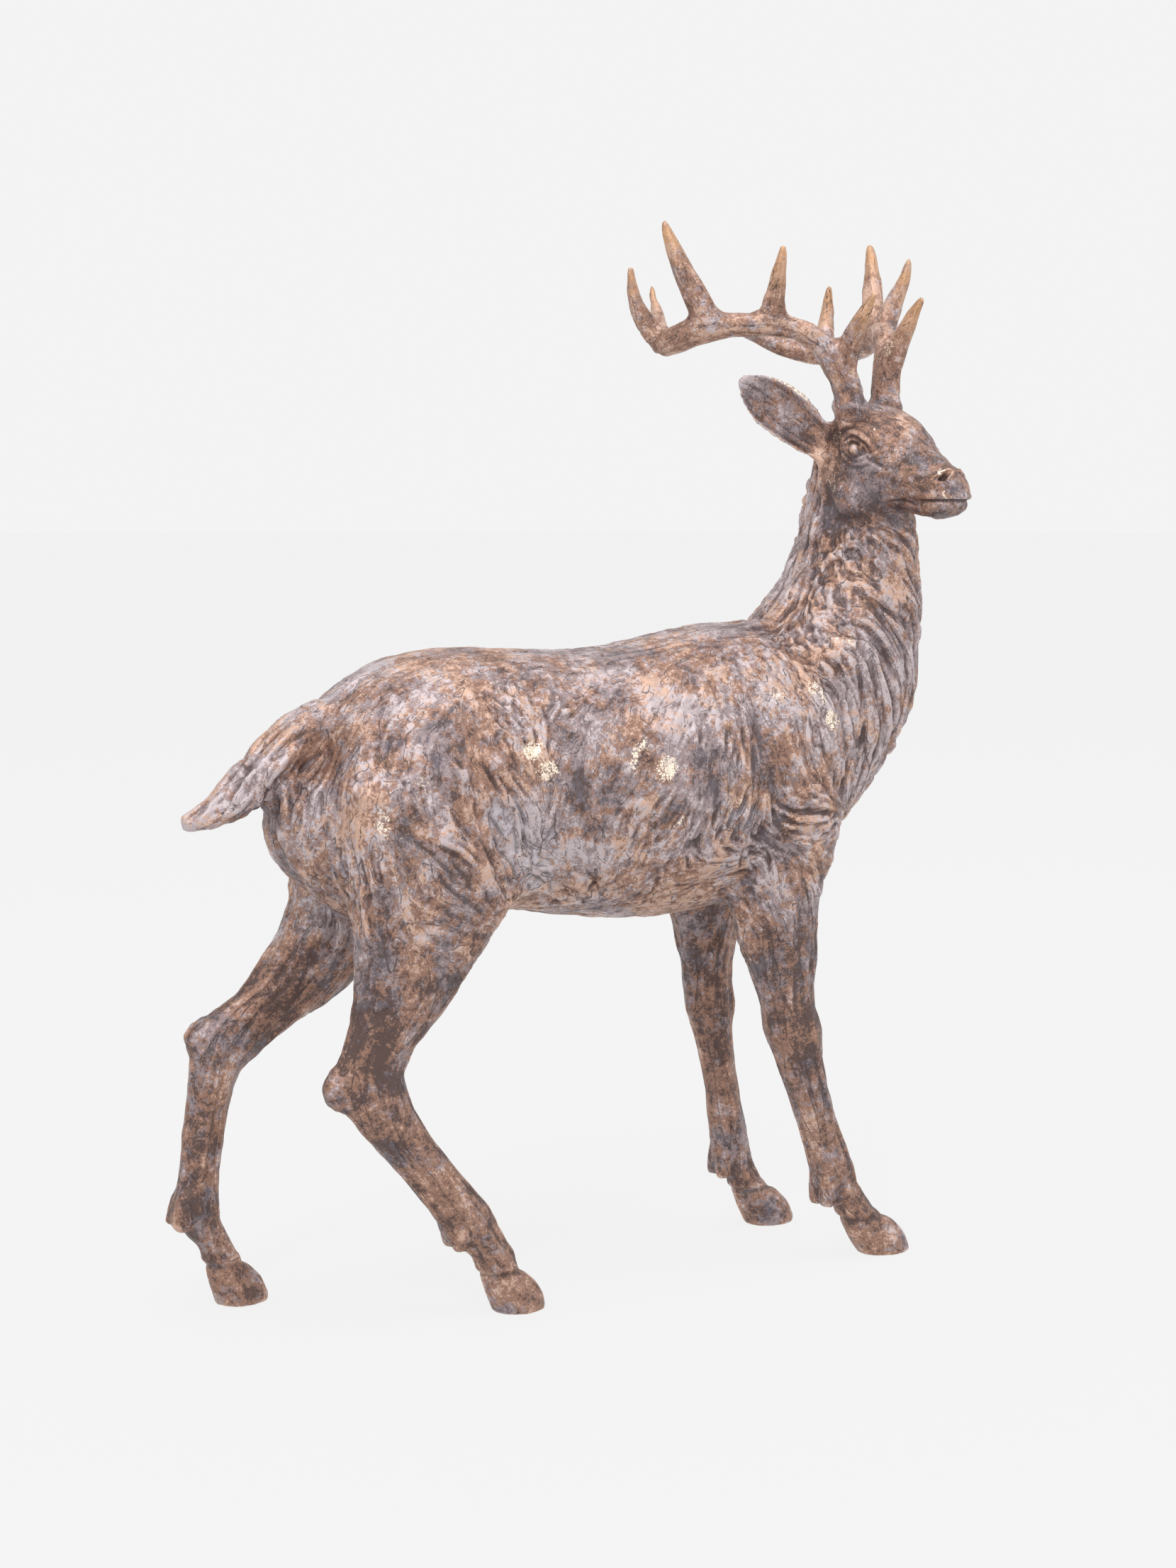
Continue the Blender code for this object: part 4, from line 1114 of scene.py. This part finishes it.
def hang_lights(scene, key_power):
    for name, place, size, share in LIGHTS:
        light = bpy.data.lights.new(name, "AREA")
        light.shape = "SQUARE"
        light.size = size
        light.energy = key_power * share
        lamp = bpy.data.objects.new(name, light)
        lamp.location = place
        aim = LIGHTS_AIM - Vector(place)
        lamp.rotation_euler = aim.to_track_quat("-Z", "Y").to_euler()
        scene.collection.objects.link(lamp)


def place_camera(scene, settings):
    camera = bpy.data.objects.new("camera", bpy.data.cameras.new("camera"))
    camera.data.lens = settings.lens
    camera.data.sensor_width = SENSOR_SIDE
    camera.location = settings.camera_place
    turn, drop = settings.camera_turn, settings.camera_drop
    ahead = math.cos(drop)
    look = Vector((math.sin(turn) * ahead, math.cos(turn) * ahead, -math.sin(drop)))
    camera.rotation_euler = look.to_track_quat("-Z", "Y").to_euler()
    scene.collection.objects.link(camera)
    scene.camera = camera


class SCENE_OT_reindeer_stage(bpy.types.Operator):
    """Lay the pale floor, hang the soft lights and place the camera"""
    bl_idname = "scene.reindeer_stage"
    bl_label = "Stage"

    def execute(self, context):
        scene = context.scene
        settings = scene.reindeer_stage
        pale = tuple(settings.backdrop) + (1,)
        world = bpy.data.worlds.new("surroundings")
        scene.world = world
        world.use_nodes = True
        world.node_tree.nodes["Background"].inputs["Color"].default_value = pale
        world.node_tree.nodes["Background"].inputs["Strength"].default_value = 1.0
        lay_floor(scene, pale)
        hang_lights(scene, settings.key_power)
        place_camera(scene, settings)
        scene.view_settings.view_transform = "Standard"
        return {"FINISHED"}


class VIEW3D_PT_reindeer(bpy.types.Panel):
    """Buttons that make the figurine"""
    bl_label = "Reindeer"
    bl_idname = "VIEW3D_PT_reindeer"
    bl_space_type = "VIEW_3D"
    bl_region_type = "UI"
    bl_category = "Reindeer"

    def draw(self, context):
        for operator in OPERATORS:
            self.layout.operator(operator.bl_idname)


OPERATORS = (
    OBJECT_OT_reindeer_hind_legs, OBJECT_OT_reindeer_forelegs, OBJECT_OT_reindeer_hindquarters,
    OBJECT_OT_reindeer_forequarters, OBJECT_OT_reindeer_neck, OBJECT_OT_reindeer_head,
    OBJECT_OT_reindeer_antlers, SCENE_OT_reindeer_stage,
)
SETTINGS = {
    "reindeer_carving": CarvingSettings,
    "reindeer_paint": PaintSettings,
    "reindeer_stage": StageSettings,
}
CLASSES = (*SETTINGS.values(), *OPERATORS, VIEW3D_PT_reindeer)


def register():
    for made in CLASSES:
        bpy.utils.register_class(made)
    for name, group in SETTINGS.items():
        setattr(bpy.types.Scene, name, bpy.props.PointerProperty(type=group))


def unregister():
    for name in SETTINGS:
        delattr(bpy.types.Scene, name)
    for made in reversed(CLASSES):
        bpy.utils.unregister_class(made)


def main():
    register()
    bpy.ops.object.reindeer_hind_legs()
    bpy.ops.object.reindeer_forelegs()
    bpy.ops.object.reindeer_hindquarters()
    bpy.ops.object.reindeer_forequarters()
    bpy.ops.object.reindeer_neck()
    bpy.ops.object.reindeer_head()
    bpy.ops.object.reindeer_antlers()
    bpy.ops.scene.reindeer_stage()
    bpy.data.meshes.remove(bpy.data.meshes["smooth form"])


if __name__ == "__main__":
    main()
